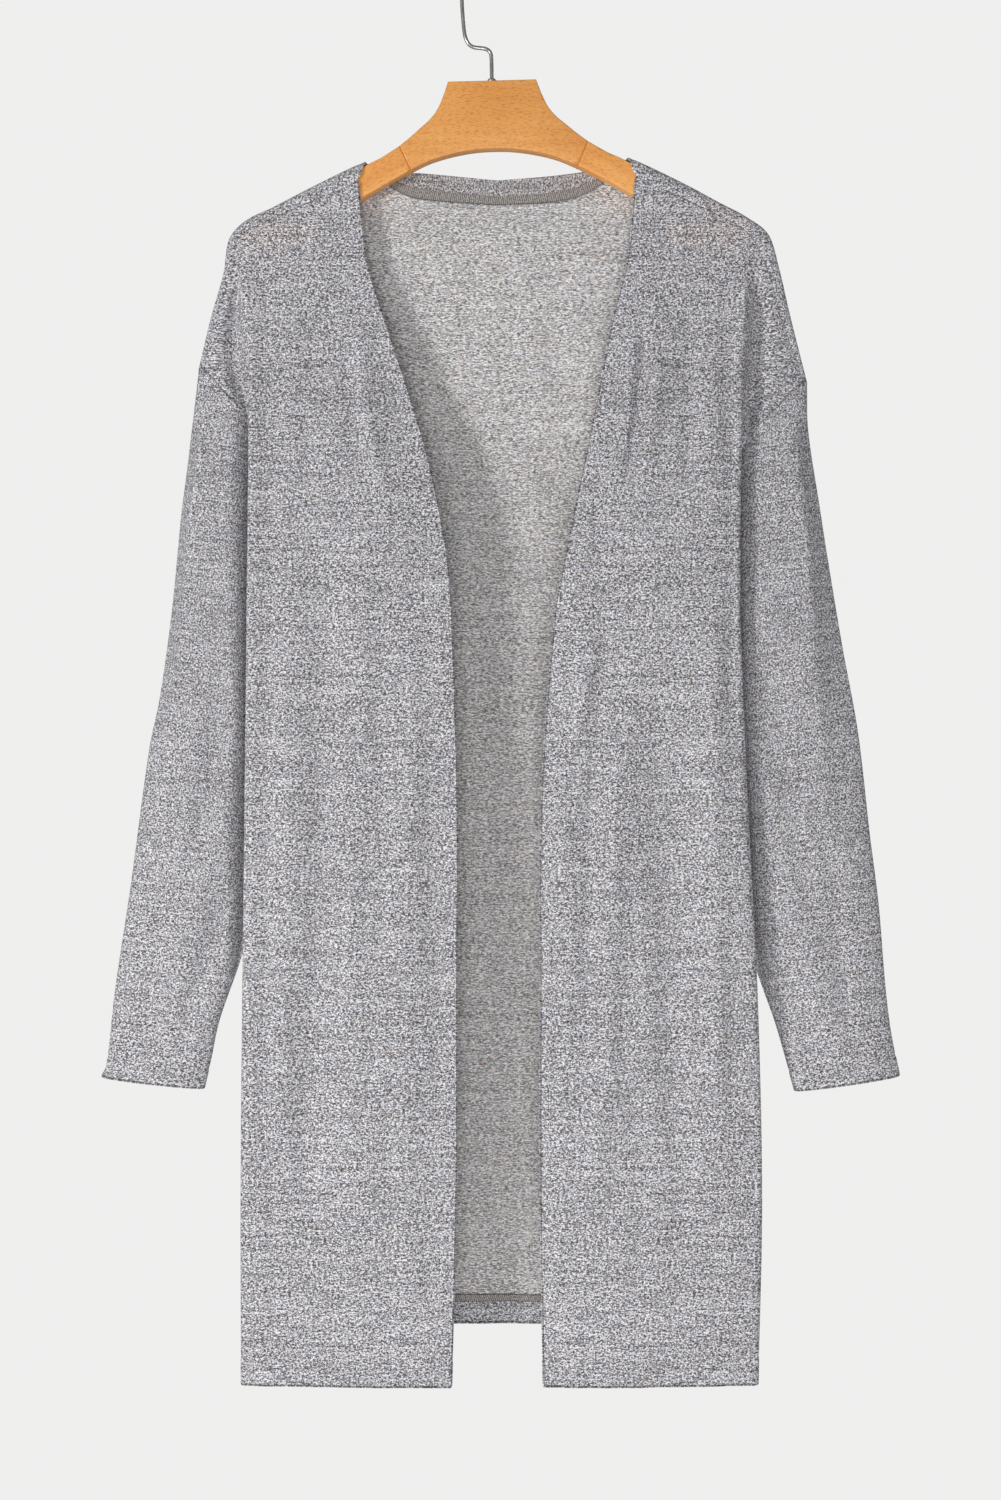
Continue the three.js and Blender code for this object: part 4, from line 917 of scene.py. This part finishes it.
def dense(points, step=2.0):
    """Even places about a step apart on a smooth line through points."""
    points = np.asarray(points, float)
    run = np.concatenate([[0], np.cumsum(np.linalg.norm(np.diff(points, axis=0), axis=1))])
    return cubic(run, points, np.linspace(0, run[-1], max(2, int(run[-1] / step))))


def board_place(points):
    """Board outline places (out, down, depth) to places in the frame, turned to the hanger's tilt."""
    c, s = math.cos(BOARD_TILT), math.sin(BOARD_TILT)
    x, z, y = points[:, 0], points[:, 1], points[:, 2]
    return np.stack([x * c - z * s, y, x * s + z * c + BOARD_TOP_Z], 1)


def board(name, outline, look, glued):
    """Flat board of an outline, its edges rounded except where it is glued."""
    outline = np.asarray(outline, float)
    area = np.sum(outline[:, 0] * np.roll(outline[:, 1], -1) - np.roll(outline[:, 0], -1) * outline[:, 1])
    if area > 0:
        outline = outline[::-1]
    made = bmesh.new()
    rings = []
    for depth in (-BOARD / 2, BOARD / 2):
        placed = board_place(np.column_stack([outline, np.full(len(outline), depth)]))
        rings.append([made.verts.new(p * MM) for p in placed])
    front_face = made.faces.new(rings[0])
    back_face = made.faces.new(rings[1][::-1])
    count = len(outline)
    for i in range(count):
        k = (i + 1) % count
        made.faces.new([rings[0][k], rings[0][i], rings[1][i], rings[1][k]])
    bmesh.ops.recalc_face_normals(made, faces=made.faces)
    sharp = []
    for face in (front_face, back_face):
        for edge in face.edges:
            middle = (edge.verts[0].co + edge.verts[1].co) / 2 / MM
            if not any(abs(abs(middle.x) - g(middle.z)) < 0.3 for g in glued):
                sharp.append(edge)
    bmesh.ops.bevel(made, geom=sharp, offset=BOARD_EDGE * MM, segments=3, profile=0.5, affect="EDGES")
    mesh = bpy.data.meshes.new(name)
    made.to_mesh(mesh)
    made.free()
    mesh.materials.append(look)
    mesh.polygons.foreach_set("use_smooth", np.full(len(mesh.polygons), True))
    mesh.set_sharp_from_angle(angle=math.radians(35))
    return link(name, mesh)


def glue_line(z):
    """Distance of the glue line from the hanger's middle at a height."""
    return mix(GLUE_LOWER, GLUE_UPPER, (z - BOARD_TOP_Z + 66.5) / 18.2)


def hanger():
    upper, lower = np.array(BOARD_UPPER), np.array(BOARD_LOWER)
    centre_top = dense(upper[upper[:, 0] <= GLUE_UPPER])
    centre_low = dense(np.vstack([(-15, -52.7), lower[lower[:, 0] <= GLUE_LOWER]]))
    centre_low = centre_low[centre_low[:, 0] > 0]
    half = np.vstack([centre_low, centre_top[::-1]])
    centre = np.vstack([half, (half * [-1, 1])[::-1]])
    arm_top = dense(upper[upper[:, 0] >= GLUE_UPPER])
    arm_low = dense(lower[lower[:, 0] >= GLUE_LOWER])
    arm = np.vstack([arm_low, arm_top[::-1][1:]])
    pieces = [board("hanger_centre_board", centre, wood_material("beech_centre", 0.0, 1.3), [glue_line])]
    for name, sign, lean in (("right", -1, 0.46), ("left", 1, -0.5)):
        look = wood_material(f"beech_{name}", lean, 5.0 + sign, light=1.06)
        pieces.append(board(f"hanger_{name}_board", arm * [sign, 1], look, [glue_line]))
    return pieces


def hook():
    points = [(0, FOOT_Z), (-0.2, -80), (-0.5, -71.5), (-1.6, -68), (-4.6, -66), (-9, -65.3),
              (-13.8, -64.6), (-17, -62.6), (-19, -59.5), (-20.4, -55), (-21.6, -44), (-22.4, -32)]
    for degrees in range(180, -16, -13):
        a = math.radians(degrees)
        points.append((LOOP_RADIUS * math.cos(a), WIRE / 2 - LOOP_RADIUS + LOOP_RADIUS * math.sin(a)))
    line = dense(points, 1.0)
    return tube("hook_wire", np.stack([line[:, 0], 0 * line[:, 0], line[:, 1]], 1), WIRE / 2, WIRE_LOOK, 20)


def ferrule():
    """Small rounded collar round the foot of the hook."""
    inner = WIRE / 2 + 0.05
    profile = dense([(inner, 0.3), (inner + 0.6, 0), (FERRULE_RADIUS - 0.3, 0.05), (FERRULE_RADIUS, 0.6),
                     (FERRULE_RADIUS - 0.1, 1.5), (FERRULE_RADIUS - 0.9, FERRULE_HEIGHT),
                     (inner + 0.2, FERRULE_HEIGHT), (inner, 1.8)], 0.35)
    turns = 40
    angle = 2 * np.pi * np.arange(turns) / turns
    points = [[r * math.cos(a), r * math.sin(a), FOOT_Z + h] for a in angle for r, h in profile]
    count = len(profile)
    faces = []
    for i in range(turns):
        for j in range(count):
            k, m = (i + 1) % turns, (j + 1) % count
            faces.append([i * count + j, k * count + j, k * count + m, i * count + m])
    return mesh_piece("hook_collar", np.array(points) * MM, faces, [WIRE_LOOK])


# Put together

def keep(piece, slot, *nodes):
    """The piece rides with the garment and stands for the named solids; slot is not used."""
    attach(piece, "root")
    if nodes:
        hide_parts(*nodes)
    return piece


for made, node in zip(hanger(), ("hanger_centre", "hanger_right_arm", "hanger_left_arm")):
    keep(made, "wood", node)
keep(hook(), "wire", "hook")
keep(ferrule(), "wire", "ferrule")

right_front, right_edging = front("right_front_shell", RIGHT, RIGHT_FOLDS, 3)
left_front, left_edging = front("left_front_shell", LEFT, LEFT_FOLDS, 7)
back_piece, back_edging = back()
for piece, node in ((right_front, "right_front"), (left_front, "left_front"), (back_piece, "back")):
    keep(piece, "knit", node)
for piece in (right_edging, left_edging, back_edging):
    keep(piece, "band")
right_sleeve = keep(sleeve("right_sleeve_shell", RIGHT, RIGHT_SLEEVE_FOLDS, 11), "knit", "right_sleeve")
left_sleeve = keep(sleeve("left_sleeve_shell", LEFT, LEFT_SLEEVE_FOLDS, 13), "knit", "left_sleeve")
band = keep(neck_band(), "band", "neck_band")


# Stage: pale floor, soft studio light and the photograph's camera

def area_light(name, place, target, size, power, colour):
    data = bpy.data.lights.new(name, "AREA")
    data.shape = "DISK"
    data.size = size
    data.energy = power
    data.color = colour
    light = link(name, data)
    light.location = place
    direction = np.array(target) - np.array(place)
    light.rotation_euler = Vector(direction).to_track_quat("-Z", "Y").to_euler()


def stage():
    """Floor, studio light and pale surroundings."""
    floor_mesh = bpy.data.meshes.new("floor")
    half, level = 1.3, -1.62
    corners = [(-half, -half, level), (half, -half, level), (half, half, level), (-half, half, level)]
    floor_mesh.from_pydata(corners, [], [(0, 1, 2, 3)])
    floor_mesh.materials.append(new_material("pale_floor", (0.82, 0.82, 0.81), 0.8)[0])
    floor = link("floor", floor_mesh)

    world = bpy.data.worlds.new("studio")
    bpy.context.scene.world = world
    world.use_nodes = True
    tree = world.node_tree
    background = tree.nodes["Background"]
    background.inputs["Color"].default_value = (0.98, 0.985, 1.0, 1)
    background.inputs["Strength"].default_value = 0.26
    seen = tree.nodes.new("ShaderNodeBackground")
    seen.inputs["Color"].default_value = (0.86, 0.86, 0.855, 1)
    path = tree.nodes.new("ShaderNodeLightPath")
    mixed = tree.nodes.new("ShaderNodeMixShader")
    tree.links.new(path.outputs["Is Camera Ray"], mixed.inputs[0])
    tree.links.new(background.outputs[0], mixed.inputs[1])
    tree.links.new(seen.outputs[0], mixed.inputs[2])
    tree.links.new(mixed.outputs[0], tree.nodes["World Output"].inputs["Surface"])

    area_light("key", (-1.75, -1.7, -0.4), (0, 0, -0.6), 0.5, 26, (1.0, 0.99, 0.975))
    area_light("front", (0.0, -2.5, -1.05), (0, 0, -0.8), 1.1, 14, (1.0, 1.0, 1.0))
    area_light("low", (0.05, -1.6, -1.4), (0, 0, -0.8), 0.9, 7, (1.0, 1.0, 1.0))
    area_light("rear", (0.8, 2.4, 0.8), (0, 0, -0.5), 2.0, 26, (1.0, 1.0, 1.0))


def camera():
    """Camera square to the garment, 1.6 m in front of the hanger's plane."""
    data = bpy.data.cameras.new("camera")
    data.sensor_width = 36
    data.lens = 51.2
    eye = link("camera", data)
    eye.location = (0.006375, -1.6, -0.59175)
    eye.rotation_euler = (math.radians(90), 0, 0)
    bpy.context.scene.camera = eye


stage()
camera()
bpy.context.scene.view_settings.view_transform = "Standard"
